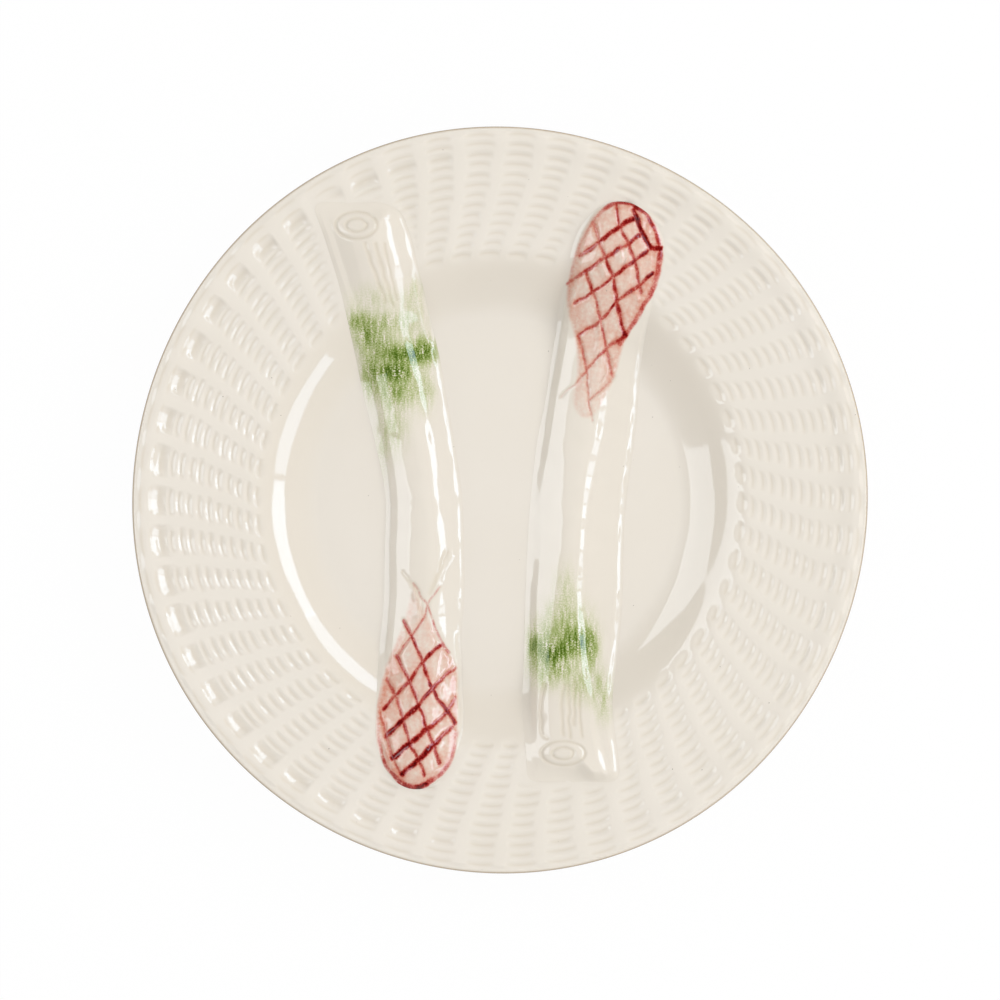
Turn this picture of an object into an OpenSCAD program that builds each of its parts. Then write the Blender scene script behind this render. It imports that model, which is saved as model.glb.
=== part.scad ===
// Asparagus plate: a slightly oval earthenware plate with a basket-weave rim, on which two
// asparagus spears lie in relief, head to tail. The origin is the centre of the foot ring's
// underside, +Z is up, and the spears run along Y. All sizes are in millimetres.

/* [Plate] */
// Length of the plate along the spears
plate_l = 260; // [230:1:300]
// Width of the plate across the spears
plate_w = 256; // [228:0.5:300]
// Height of the rim's crest above the table
plate_h = 25; // [20:0.5:34]
// Thickness of the well's floor
floor_t = 4.8; // [3:0.1:8]
// Thickness of the wall and the rim
rim_t = 4.2; // [3:0.1:7]
// Thickness of the clay at the very edge
edge_t = 3; // [2:0.1:5]
// How far the edge rounds over outside its crest
edge_round = 1.2; // [0.6:0.1:2.4]
// How far the hand-finished edge strays from a true oval
edge_stray = 0.3; // [0:0.05:1]

/* [Well] */
// Radius of the flat floor, along the plate's length
well_r = 64; // [56:1:72]
// Radius at which the wall has run out into the rim
shoulder_r = 89.5; // [82:0.5:96]
// Climb of the wall from the floor to the shoulder
wall_rise = 10.2; // [5:0.2:12]

/* [Foot ring] */
// Radius of the middle of the ring
foot_r = 58; // [40:1:60]
// Width of the ring where it stands
foot_w = 4; // [3:0.5:7]
// Height of the ring
foot_h = 3; // [2:0.5:6]
// Width of the turned bevel on each side of the ring
foot_bevel = 1.2; // [0.4:0.2:2]

/* [Basket weave] */
// Columns of stitches round the rim
columns = 54; // [40:1:60]
// Stitches in one column
stitches = 13; // [9:1:14]
// Radius of the innermost stitches, near the top of the wall
weave_in_r = 86; // [80:1:92]
// Width of the plain lip outside the weave
lip_w = 2; // [1:0.2:8]
// Depth of the creases between the stitches
crease_depth = 0.9; // [0.2:0.1:1.6]
// Share of a column's pitch that its stitches take
stitch_share = 0.56; // [0.3:0.02:0.8]
// How far a crease bows outwards at its middle
crease_bow = 0.5; // [0:0.1:1]
// Angle that a column has leaned over at its innermost stitch
column_lean = 6; // [0:0.5:12]
// Width of the plain margin in which the weave dies out beside a spear
weave_fade = 6; // [2:0.5:12]

/* [Left spear] */
// Distance of the cut end from the plate's edge
left_cut_margin = 30; // [24:1:36]
// Distance of the point from the plate's edge
left_point_margin = 30; // [24:1:36]
// Width of the cut end
left_cut_w = 30; // [24:0.5:34]
// Width of the stalk at its waist
left_stalk_w = 25; // [20:0.5:30]
// Width of the tip at its fullest
left_tip_w = 27.4; // [22:0.5:32]
// Length of the scaly tip
left_tip_len = 54; // [40:1:70]

/* [Right spear] */
// Distance of the cut end from the plate's edge
right_cut_margin = 34; // [24:1:36]
// Distance of the point from the plate's edge
right_point_margin = 27; // [24:1:36]
// Width of the cut end
right_cut_w = 28; // [24:0.5:34]
// Width of the stalk at its waist
right_stalk_w = 31.6; // [24:0.5:34]
// Width of the tip at its fullest
right_tip_w = 31; // [24:0.5:34]
// Length of the scaly tip
right_tip_len = 62; // [40:1:70]

/* [Relief of the spears] */
// Height of a stalk above the plate
stalk_h = 6.4; // [4:0.2:11]
// Height of a tip above the plate
tip_h = 7.8; // [4:0.2:12]
// Length of the slanted face of the cut end
cut_len = 13; // [6:0.5:18]
// Rounding of the corners of the cut end
cut_corner = 5; // [1:0.5:8]
// Depth of the oval pith in the cut face
pith_depth = 0.9; // [0:0.1:1.6]
// Length over which a tip rounds off to its point
nose_len = 17; // [10:1:24]
// Rise of a scale above the grooves round it
scale_rise = 1.3; // [0.4:0.1:2]
// Rise of a leaf bract above the stalk
bract_rise = 1.1; // [0:0.1:2]
// Length of a leaf bract
bract_len = 26; // [14:1:34]
// How far a stiff spear sweeps past the bends of the plate under it
sweep = 8; // [0:1:14]
// Layer of slip between a spear and the plate
slip_gap = 0.3; // [0.2:0.05:0.5]

/* [Hidden] */

CREAM = [0.92, 0.89, 0.84];
BISCUIT = [0.86, 0.80, 0.70];
STALK_GREEN = [0.80, 0.82, 0.66];
TIP_RED = [0.78, 0.52, 0.48];

// The rim's crest, and the oval that all radii are stretched to across the plate
oval = plate_w / plate_l;
crest_r = plate_l / 2 - edge_round;
rim_rise = plate_h - foot_h - floor_t - wall_rise;
// The rim starts to climb halfway up the wall, so that wall and rim blend
rim_start_r = (well_r + shoulder_r) / 2;
RIM_CURVE = 1.3;

// Weave: two rows for each stitch, three points across each column
column_pitch = 360 / columns;
weave_out_r = crest_r - lip_w;
weave_rows = 2 * stitches;
stitch_angle = column_pitch * stitch_share;
POINTS_PER_COLUMN = 3;
WALL_RINGS = 7;
UNDER_RINGS = 7;

// Middle lines of the spears as [share of the length, x], from the cut end to the point
left_route = [
    [0, -49.5], [0.08, -44], [0.25, -35.4], [0.37, -30], [0.5, -27],
    [0.62, -26.4], [0.8, -27.4], [0.92, -29], [1, -30],
];
right_route = [
    [0, 26], [0.08, 24.2], [0.15, 23.6], [0.26, 25.4], [0.4, 26.2],
    [0.5, 27.2], [0.6, 30.4], [0.72, 33.6], [0.82, 37], [0.92, 40.8], [1, 41],
];

// A spear is [route, y of its cut end, y of its point, widths of its cut end, stalk and tip,
// length of its tip]. The spears lie head to tail, so the left one grows towards -y.
left_spear = [
    left_route,
    plate_l / 2 - left_cut_margin,
    left_point_margin - plate_l / 2,
    [left_cut_w, left_stalk_w, left_tip_w],
    left_tip_len
];
right_spear = [
    right_route,
    right_cut_margin - plate_l / 2,
    plate_l / 2 - right_point_margin,
    [right_cut_w, right_stalk_w, right_tip_w],
    right_tip_len
];
// Places along a spear, from 0 at the cut end to 1 at the point, of its waist and its fullest tip
WAIST_AT = 0.5;
FULLEST_AT = 0.88;
// Places of the bracts along a spear, and the side that each leans to
BRACTS = [[0.34, 0.35], [0.58, -0.3]];
BRACT_WIDTH = 0.62;
// Half-oval pith on the cut face, as shares of the face's length and half width
PITH_AT = 0.5;
PITH_SIZE = [0.42, 0.5];

// Facets of the spears
STALK_STRIPS = 12;
STALK_SEAT_STRIPS = 6;
STALK_ROWS = 28;
TIP_STRIPS = 20;
TIP_SEAT_STRIPS = 4;
TIP_ROWS = 20;
// A scale's diagonals are four strips wide and four rows long
SCALE_PITCH = 4;
SCALE_DOME = 0.7;
// Power that shapes the section of a spear, from 0.5 for half-round to 1 for soft shoulders
SHOULDERS = 0.75;
// Half width that the blunt point of a tip keeps
NOSE_W = 1.5;
// Relief that is left at the outermost row of a cut end
CUT_LIP = 0.06;
// Rows of a stalk crowd towards its cut end by this power
STALK_CROWDING = 1.35;

// ---------- Curves ----------

function clamp01(t) = min(1, max(0, t));
function smooth(t) = let (c = clamp01(t)) c * c * (3 - 2 * c);
function mix(a, b, t) = a + (b - a) * t;

// Smooth curve through points [along, across], read at a place along it
function slope_at(points, i) =
    let (a = max(0, i - 1), b = min(len(points) - 1, i + 1))
    (points[b][1] - points[a][1]) / (points[b][0] - points[a][0]);
function span_of(points, at, i = 0) =
    i >= len(points) - 2 || at <= points[i + 1][0] ? i : span_of(points, at, i + 1);
function along(points, at) =
    let (
        i = span_of(points, at),
        step = points[i + 1][0] - points[i][0],
        t = clamp01((at - points[i][0]) / step),
        rise = points[i + 1][1] - points[i][1],
        m0 = slope_at(points, i) * step,
        m1 = slope_at(points, i + 1) * step
    )
    points[i][1] + m0 * t + (3 * rise - 2 * m0 - m1) * t * t + (m0 + m1 - 2 * rise) * pow(t, 3);

// ---------- Plate profile ----------

// Upper face of the plate at a radius measured along its length
function top_z(r) =
    foot_h + floor_t
    + wall_rise * smooth((r - well_r) / (shoulder_r - well_r))
    + rim_rise * pow(max(0, (r - rim_start_r) / (crest_r - rim_start_r)), RIM_CURVE);
function top_slope(r) = (top_z(r + 0.5) - top_z(r - 0.5));
// Underside: the upper face set back by the thickness of the clay, square to the slope
function under_z(r) =
    let (
        t = r < shoulder_r
            ? mix(floor_t, rim_t, smooth((r - well_r) / (shoulder_r - well_r)))
            : mix(rim_t, edge_t, smooth((r - shoulder_r) / (crest_r - shoulder_r)))
    )
    max(foot_h, top_z(r) - t * sqrt(1 + pow(top_slope(r), 2)));
// Radius, along the plate's length, of a point on the oval plate
function radius_of(x, y) = norm([x / oval, y]);
function surface_z(x, y) = top_z(radius_of(x, y));

// ---------- Spear outline ----------

function cut_y(spear) = spear[1];
function point_y(spear) = spear[2];
function spear_len(spear) = abs(point_y(spear) - cut_y(spear));
function join_y(spear) =
    point_y(spear) + sign(cut_y(spear) - point_y(spear)) * spear[4];
// Distance grown from the cut end, and the same as a share of the whole spear
function grown(spear, y) = abs(y - cut_y(spear));
function share(spear, y) = grown(spear, y) / spear_len(spear);
function middle_x(spear, y) = along(spear[0], share(spear, y));
// Quarter circle that rises from 0 to 1, and stays there
function round_off(t) = sqrt(max(0, 1 - pow(1 - clamp01(t), 2)));
// Rounding of the nose: 1 along the spear, falling to 0 at its point
function nose(spear, y) =
    round_off(abs(point_y(spear) - y) / nose_len);
function corner_loss(spear, y) = cut_corner * (1 - round_off(grown(spear, y) / cut_corner));
function half_w(spear, y) =
    let (
        s = share(spear, y),
        w = spear[3],
        body = s < WAIST_AT
            ? mix(w[0], w[1], smooth(s / WAIST_AT))
            : mix(w[1], w[2], smooth((s - WAIST_AT) / (FULLEST_AT - WAIST_AT)))
    )
    max(NOSE_W, body / 2 * nose(spear, y) - corner_loss(spear, y));
function full_h(spear, y) =
    let (s = (grown(spear, y) - grown(spear, join_y(spear))) / nose_len)
    mix(stalk_h, tip_h, smooth(s)) * max(NOSE_W / 10, nose(spear, y));

// How far a point lies outside the outline of a spear
function off_spear(spear, x, y) =
    let (
        low = min(cut_y(spear), point_y(spear)),
        near_y = min(low + spear_len(spear), max(low, y))
    )
    norm([
        max(0, abs(x - middle_x(spear, near_y)) - half_w(spear, near_y)),
        y - near_y
    ]);
function weave_share(x, y) =
    smooth(min(off_spear(left_spear, x, y), off_spear(right_spear, x, y)) / weave_fade);

// ---------- Closed skins made of rings ----------

function count_before(rings, i) = i == 0 ? 0 : count_before(rings, i - 1) + len(rings[i - 1]);

// Band between two rings of the same number of points; every other cell turns its diagonal,
// counted from column starts, so that the folds meet in the middle of each crease
function band(a, b, n, row) = [
    for (j = [0:n - 1])
        let (
            k = (j + 1) % n,
            forward = (row + j % POINTS_PER_COLUMN) % 2 == 0,
            cell = forward
                ? [[a + j, b + k, b + j], [a + j, a + k, b + k]]
                : [[a + j, a + k, b + j], [a + k, b + k, b + j]]
        )
        each cell
];
// Band from a ring of n points out to one with q points for each of its own
function fan_out(a, b, n, q) = [
    for (i = [0:n - 1], j = [0:q])
        j < q
            ? [a + i, b + (q * i + j + 1) % (q * n), b + q * i + j]
            : [a + i, a + (i + 1) % n, b + (q * i + q) % (q * n)]
];
function fan_in(a, b, n, q) = [
    for (f = fan_out(b, a, n, q)) [f[2], f[1], f[0]]
];
function hub(centre, ring, n) = [for (j = [0:n - 1]) [centre, ring + (j + 1) % n, ring + j]];
function flipped(faces) = [for (f = faces) [f[2], f[1], f[0]]];

function band_faces(rings, i) =
    let (
        a = count_before(rings, i),
        b = count_before(rings, i + 1),
        m = len(rings[i]),
        n = len(rings[i + 1])
    )
    m == 1 ? hub(a, b, n)
    : n == 1 ? flipped(hub(b, a, m))
    : m == n ? band(a, b, n, i)
    : m < n ? fan_out(a, b, m, n / m)
    : fan_in(a, b, n, m / n);

module ring_skin(rings) {
    points = [for (r = rings) each r];
    faces = [for (i = [0:len(rings) - 2]) each band_faces(rings, i)];
    polyhedron(points = points, faces = faces, convexity = 6);
}

// ---------- Plate ----------

// The edge strays a little from the oval between the four ends of its axes
function stray(angle, r) = edge_stray * pow(r / crest_r, 4) * sin(4 * angle);
function oval_point(r, angle, z) = [
    oval * (r + stray(angle, r)) * cos(angle),
    (r + stray(angle, r)) * sin(angle),
    z
];
// Columns lean over in the inner half of the weave
function lean(r) =
    column_lean * pow(clamp01((weave_out_r - r) / (weave_out_r - weave_in_r)), 2);

function plain_ring(r, z) = [
    for (i = [0:columns - 1]) oval_point(r, i * column_pitch + lean(r), z)
];
// Ring with the start, middle and end of each column's stitches; crease rows dip in the middle
function woven_ring(r, creased) = [
    for (i = [0:columns - 1], j = [-1:1])
        let (
            angle = i * column_pitch + lean(r) + j * stitch_angle / 2,
            flat = oval_point(r, angle, 0),
            dip = creased && j == 0 ? weave_share(flat[0], flat[1]) : 0,
            bowed = r + crease_bow * dip
        )
        oval_point(bowed, angle, top_z(bowed) - crease_depth * dip)
];
function edge_ring(r, z) = [
    for (i = [0:columns - 1], j = [-1:1])
        oval_point(r, i * column_pitch + j * stitch_angle / 2, z)
];

// Rings run from the middle of the well out over the rim, and back under it to the middle
function plate_rings() = concat(
    [[[0, 0, top_z(0)]]],
    [
        for (i = [0:WALL_RINGS - 1])
            let (r = mix(well_r, weave_in_r, i / WALL_RINGS)) plain_ring(r, top_z(r))
    ],
    [
        for (i = [0:weave_rows])
            woven_ring(mix(weave_in_r, weave_out_r, i / weave_rows), i % 2 == 1)
    ],
    [
        edge_ring(crest_r, plate_h),
        edge_ring(crest_r + edge_round, plate_h - edge_t / 2)
    ],
    [
        for (i = [0:UNDER_RINGS])
            let (r = mix(crest_r, well_r, i / UNDER_RINGS)) plain_ring(r, under_z(r))
    ],
    [[[0, 0, foot_h]]]
);

module plate() {
    color(CREAM) ring_skin(plate_rings());
}

// ---------- Foot ring ----------

module foot_ring() {
    inner = foot_r - foot_w / 2;
    outer = foot_r + foot_w / 2;
    color(BISCUIT)
        rotate_extrude($fn = 96)
            polygon([
                [inner, 0], [outer, 0],
                [outer + foot_bevel, foot_bevel], [outer + foot_bevel, foot_h],
                [inner - foot_bevel, foot_h], [inner - foot_bevel, foot_bevel]
            ]);
}

// ---------- Spears ----------

// Relief grids hold rows of points from low y to high y, each from left to right over the top.
// The underside lies a layer of slip above the plate and shares the outer points of each row.
function across(strips, j) = -cos(180 * j / strips);
function spear_point(spear, t, y, relief) =
    let (x = middle_x(spear, y) + t * half_w(spear, y))
    [x, y, surface_z(x, y) + slip_gap + relief];
function seat_row(spear, y, seats) = [
    for (j = [1:seats - 1]) spear_point(spear, 2 * j / seats - 1, y, 0)
];

// Cells of a grid of rows, which turn their diagonals where `turned` says so
function grid_faces(rows, strips, stride, turned) = [
    for (i = [0:rows - 1], j = [0:strips - 1])
        let (
            a = i * stride + j,
            b = a + stride,
            cell = turned[i][j]
                ? [[a, b, b + 1], [a, b + 1, a + 1]]
                : [[a, b, a + 1], [b, b + 1, a + 1]]
        )
        each cell
];

// The points of row i that bound the underside, from left to right
function seat_ids(i, strips, seats) =
    let (first = i * (strips + seats))
    [first, for (j = [1:seats - 1]) first + strips + j, first + strips];
function seat_faces(rows, strips, seats) = [
    for (i = [0:rows - 1], j = [0:seats - 1])
        let (a = seat_ids(i, strips, seats), b = seat_ids(i + 1, strips, seats))
        each [[a[j], a[j + 1], b[j]], [a[j + 1], b[j + 1], b[j]]]
];
// Flat end of a relief: each strip of the underside fans out to its share of the top's strips
function end_faces(i, strips, seats) =
    let (seat = seat_ids(i, strips, seats), top = seat[0], q = strips / seats)
    [
        for (j = [0:seats - 1])
            each concat(
                [
                    for (k = [q * j:q * (j + 1) - 1])
                        if (k > 0) [seat[j], top + k, top + k + 1]
                ],
                [if (j < seats - 1) [seat[j], top + q * (j + 1), seat[j + 1]]]
            )
    ];

module relief(spear, places, strips, seats, heights, turned) {
    rows = len(places) - 1;
    points = [
        for (i = [0:rows])
            each concat(
                [
                    for (j = [0:strips])
                        spear_point(spear, across(strips, j), places[i], heights[i][j])
                ],
                seat_row(spear, places[i], seats)
            )
    ];
    polyhedron(
        points = points,
        faces = concat(
            grid_faces(rows, strips, strips + seats, turned),
            seat_faces(rows, strips, seats),
            end_faces(0, strips, seats),
            flipped(end_faces(rows, strips, seats))
        ),
        convexity = 6
    );
}

// Section of a spear: full height on the middle line, nothing at the sides. A power of 0.5 gives
// a half-round back, and more than that gives softer shoulders.
function section(t) = pow(max(0, 1 - t * t), SHOULDERS);

// A bract is a pointed leaf lying on the stalk, widest at its foot
function bract(spear, y, t, place) =
    let (
        s = (share(spear, y) - place[0]) * spear_len(spear) / bract_len,
        reach = BRACT_WIDTH * (1 - s),
        off = abs(t - place[1] * (1 - s))
    )
    s < 0 || s > 1 ? 0 : smooth(s * 6) * smooth((reach - off) * 4);
// Slanted cut face that climbs from the plate, with the oval pith sunk in it
function cut_ramp(spear, y) = mix(CUT_LIP, 1, clamp01(grown(spear, y) / cut_len));
function pith(spear, y, t) =
    let (off = norm([(grown(spear, y) / cut_len - PITH_AT) / PITH_SIZE[0], t / PITH_SIZE[1]]))
    smooth(2 * (1 - off));

// Climb of the back of a spear over the plate under it, where the plate bends and it doesn't
function swept(spear, y, t) =
    let (r = radius_of(middle_x(spear, y) + t * half_w(spear, y), y))
    (top_z(r - sweep) + top_z(r + sweep)) / 2 - top_z(r);

function stalk_relief(spear, y, t) =
    section(t) * (
        (full_h(spear, y) + swept(spear, y, t)) * cut_ramp(spear, y)
        + bract_rise * max([for (b = BRACTS) bract(spear, y, t, b)])
        - pith_depth * pith(spear, y, t)
    );

// Scales lie in a diamond lattice whose grooves follow the diagonals of the grid
function scale_dome(i, j) =
    pow(abs(sin(180 * (i + j) / SCALE_PITCH) * sin(180 * (i - j) / SCALE_PITCH)), SCALE_DOME);
function tip_relief(spear, y, t, i, j) =
    section(t) * (
        (full_h(spear, y) + swept(spear, y, t))
        + scale_rise * nose(spear, y) * (scale_dome(i, j) - 0.5)
    );

// Places of n + 1 rows from one end to another, in order of rising y
function row_places(from_y, to_y, n, crowding) =
    let (places = [for (i = [0:n]) mix(from_y, to_y, pow(i / n, crowding))])
    from_y < to_y ? places : [for (i = [n:-1:0]) places[i]];

module stalk(spear) {
    places = row_places(cut_y(spear), join_y(spear), STALK_ROWS, STALK_CROWDING);
    heights = [
        for (y = places)
            [for (j = [0:STALK_STRIPS]) stalk_relief(spear, y, across(STALK_STRIPS, j))]
    ];
    turned = [for (y = places) [for (j = [0:STALK_STRIPS]) j < STALK_STRIPS / 2]];
    relief(spear, places, STALK_STRIPS, STALK_SEAT_STRIPS, heights, turned);
}

module tip(spear) {
    places = row_places(join_y(spear), point_y(spear), TIP_ROWS, 1);
    heights = [
        for (i = [0:TIP_ROWS])
            [
                for (j = [0:TIP_STRIPS])
                    tip_relief(spear, places[i], across(TIP_STRIPS, j), i, j)
            ]
    ];
    turned = [
        for (i = [0:TIP_ROWS])
            [for (j = [0:TIP_STRIPS]) (i + TIP_STRIPS - j) % SCALE_PITCH == 0]
    ];
    relief(spear, places, TIP_STRIPS, TIP_SEAT_STRIPS, heights, turned);
}

module left_spear_stalk() {
    color(STALK_GREEN) stalk(left_spear);
}

module left_spear_tip() {
    color(TIP_RED) tip(left_spear);
}

module right_spear_stalk() {
    color(STALK_GREEN) stalk(right_spear);
}

module right_spear_tip() {
    color(TIP_RED) tip(right_spear);
}

plate();
foot_ring();
left_spear_stalk();
left_spear_tip();
right_spear_stalk();
right_spear_tip();
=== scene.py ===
# %% [markdown]
# # A glazed asparagus plate
# This notebook dresses a measured model of an earthenware plate. The model gives the sizes and
# says where each piece lies. We make the surfaces that the eye reads as pottery: a rim pressed
# with basket weave, two asparagus spears in soft relief, and a glossy glaze with brushed colour.
# A quick way would be to give the measured solids a shiny material and stop there. Glaze shows
# every bend of the clay under it as a highlight, though, so here each piece is a fine mesh whose
# heights come from formulas, and the materials only add what is finer than a tenth of a millimetre.

import bpy
import numpy as np
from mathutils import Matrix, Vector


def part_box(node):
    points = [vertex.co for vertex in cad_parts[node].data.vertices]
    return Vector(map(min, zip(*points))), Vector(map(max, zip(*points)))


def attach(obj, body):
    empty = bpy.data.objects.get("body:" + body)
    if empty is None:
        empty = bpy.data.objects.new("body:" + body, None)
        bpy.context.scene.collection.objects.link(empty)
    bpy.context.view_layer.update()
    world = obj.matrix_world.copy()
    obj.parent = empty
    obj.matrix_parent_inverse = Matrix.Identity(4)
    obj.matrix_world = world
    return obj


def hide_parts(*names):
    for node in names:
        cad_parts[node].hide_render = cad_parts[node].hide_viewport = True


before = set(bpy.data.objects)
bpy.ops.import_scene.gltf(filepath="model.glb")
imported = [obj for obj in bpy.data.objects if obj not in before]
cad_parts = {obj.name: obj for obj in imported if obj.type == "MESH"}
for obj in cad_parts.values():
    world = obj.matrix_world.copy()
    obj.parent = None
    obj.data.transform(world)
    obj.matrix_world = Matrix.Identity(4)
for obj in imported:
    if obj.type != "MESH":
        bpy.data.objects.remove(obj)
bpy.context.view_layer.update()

# %% [markdown]
# ## Sizes that everything shares
# The plate is a shallow dish turned about the upright axis and pressed slightly oval. Its outline
# comes from the measured model, and the few radii that shape its profile are written out here,
# because every other piece has to lie on the same surface.

# %% Sizes of the plate
MM = 0.001
plate_low, plate_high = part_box("plate")
EDGE_R = (plate_high[1] - plate_low[1]) / 2
OVAL = (plate_high[0] - plate_low[0]) / (plate_high[1] - plate_low[1])
CREST_Z = plate_high[2]
UNDERSIDE_Z = plate_low[2]
FLOOR_Z = UNDERSIDE_Z + 4.8 * MM
ROLL = 1.2 * MM
LIP_W = 2.0 * MM
CREST_R = EDGE_R - ROLL
WELL_R = 64 * MM
SHOULDER_R = 89.5 * MM
WALL_RISE = 10.2 * MM
RIM_START_R = (WELL_R + SHOULDER_R) / 2
RIM_RISE = CREST_Z - FLOOR_Z - WALL_RISE
RIM_CURVE = 1.3
print("edge radius", round(EDGE_R / MM, 1), "mm, oval", round(OVAL, 4))


def smooth(t):
    """Soft step from 0 to 1."""
    t = np.clip(t, 0.0, 1.0)
    return t * t * (3 - 2 * t)


def quarter_round(t):
    """Quarter of a circle that climbs from 0 to 1 and stays there."""
    return np.sqrt(np.clip(1 - (1 - np.clip(t, 0, 1)) ** 2, 0, 1))


def surface_z(r):
    """Height of the plate's upper face at a radius measured along its length."""
    wall = WALL_RISE * smooth((r - WELL_R) / (SHOULDER_R - WELL_R))
    climb = np.clip((r - RIM_START_R) / (CREST_R - RIM_START_R), 0, None)
    return FLOOR_Z + wall + RIM_RISE * climb**RIM_CURVE


def radius_of(x, y):
    """Radius along the plate's length of a point on the oval plate."""
    return np.hypot(x / OVAL, y)


# %% [markdown]
# ## Reading places from the photograph
# Painted strokes sit where a hand put them, so they are easiest to note as places in the
# photograph. The camera looks straight down from a good metre, and a place in the picture becomes
# a place on the plate by scaling about the plate's middle. Higher clay is nearer to the camera
# and looks larger, so the height of the surface goes into the scale too.

# %% From picture to plate
PICTURE_SIZE = 1000
PICTURE_MIDDLE = 499.5
PLATE_TOP_PX = 126
PLATE_BOTTOM_PX = 874
CAMERA_Z = 1250 * MM
MM_PER_PX = 2 * EDGE_R / (PLATE_BOTTOM_PX - PLATE_TOP_PX)


def nearness(z):
    """How much smaller a length looks at height z than at the rim's crest."""
    return (CAMERA_Z - z) / (CAMERA_Z - CREST_Z)


def to_picture(x, y, z):
    """Place in the picture of a point on the plate."""
    scale = MM_PER_PX * nearness(z)
    return PICTURE_MIDDLE + x / scale, PICTURE_MIDDLE - y / scale


def row_to_y(row, z):
    """Place along the plate of a picture row, for clay at height z."""
    return (PICTURE_MIDDLE - row) * MM_PER_PX * nearness(z)


print("one pixel is", round(MM_PER_PX / MM, 4), "mm at the rim")

# %% [markdown]
# ## Unevenness
# Hand-pressed clay under a flowing glaze is never quite true, and the wavy edges of its
# highlights show it. A bump texture could do this, but the meshes are fine enough to carry it.
# A sum of a few seeded plane waves gives a smooth random surface without any texture.

# %% A smooth random surface
WAVES = 14


def ripple(x, y, wave_length, seed):
    """Smooth noise of about unit height whose bumps are one wave length apart."""
    rng = np.random.default_rng(seed)
    total = np.zeros(np.broadcast(x, y).shape)
    for _ in range(WAVES):
        angle = rng.uniform(0, 2 * np.pi)
        length = wave_length * rng.uniform(0.7, 1.6)
        phase = rng.uniform(0, 2 * np.pi)
        total += np.cos((x * np.cos(angle) + y * np.sin(angle)) * 2 * np.pi / length + phase)
    return total / np.sqrt(WAVES / 2)


print("each ripple is a sum of", WAVES, "waves")

# %% [markdown]
# ## From rows of points to a mesh
# Every surface here is a sheet of rows and columns, so one helper turns arrays of coordinates
# into a mesh. Faces that only close a piece underneath are left flat, which keeps them from
# bending the shading of the glazed side. Named values for each point ride along as attributes,
# and the materials read them as paint masks.

# %% The mesh helper


def build_mesh(name, points, quads, caps=(), attributes=None, uvs=None):
    """Makes an object from points, quads to shade smooth and flat closing faces."""
    mesh = bpy.data.meshes.new(name)
    sizes = [4] * len(quads) + [len(c) for c in caps]
    corners = np.concatenate([np.asarray(quads).ravel()] + [np.asarray(c) for c in caps])
    mesh.vertices.add(len(points))
    mesh.vertices.foreach_set("co", np.asarray(points, dtype=np.float32).ravel())
    mesh.loops.add(len(corners))
    mesh.loops.foreach_set("vertex_index", corners.astype(np.int32))
    mesh.polygons.add(len(sizes))
    starts = np.concatenate([[0], np.cumsum(sizes)[:-1]]).astype(np.int32)
    mesh.polygons.foreach_set("loop_start", starts)
    mesh.polygons.foreach_set("use_smooth", [True] * len(quads) + [False] * len(caps))
    for key, values in (attributes or {}).items():
        layer = mesh.attributes.new(key, "FLOAT", "POINT")
        layer.data.foreach_set("value", np.asarray(values, dtype=np.float32).ravel())
    if uvs is not None:
        layer = mesh.uv_layers.new(name="clay_uv")
        layer.data.foreach_set("uv", np.asarray(uvs, dtype=np.float32)[corners].ravel())
    mesh.update(calc_edges=True)
    mesh.validate()
    piece = bpy.data.objects.new(name, mesh)
    bpy.context.collection.objects.link(piece)
    return piece


def sheet_quads(rows, columns, start=0, closed=False):
    """Quads between rows of points, wound so that they face up when rows run to +Y."""
    i, j = np.meshgrid(
        np.arange(rows - 1), np.arange(columns if closed else columns - 1), indexing="ij"
    )
    after = (j + 1) % columns
    a = start + i * columns + j
    b = start + i * columns + after
    c = start + (i + 1) * columns + after
    d = start + (i + 1) * columns + j
    return np.stack([a, b, c, d], axis=-1).reshape(-1, 4)


print("a sheet of 3 rows and 4 columns has", len(sheet_quads(3, 4)), "quads")

# %% [markdown]
# ## Outlines of the spears
# The two spears lie head to tail and each has its own lean. A bent cylinder would be quick, but
# these were modelled by hand, so each is described by a few picture rows with five places across:
# the left foot, the steepest line of the left flank, the edge of the crown, the shoulder where the
# right flank turns down, and the right foot. A smooth curve through the rows fills in the rest,
# and the bud end closes with a quarter circle.
#
# Each spear also has named rows along it: where it is cut, where it comes to its point, where the
# stalk joins the bud, and where the shoulder merges into the round bud. The slanted face of the cut
# is short on the right, and edge_px says how short. Behind it the shoulder may be steeper.

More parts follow.
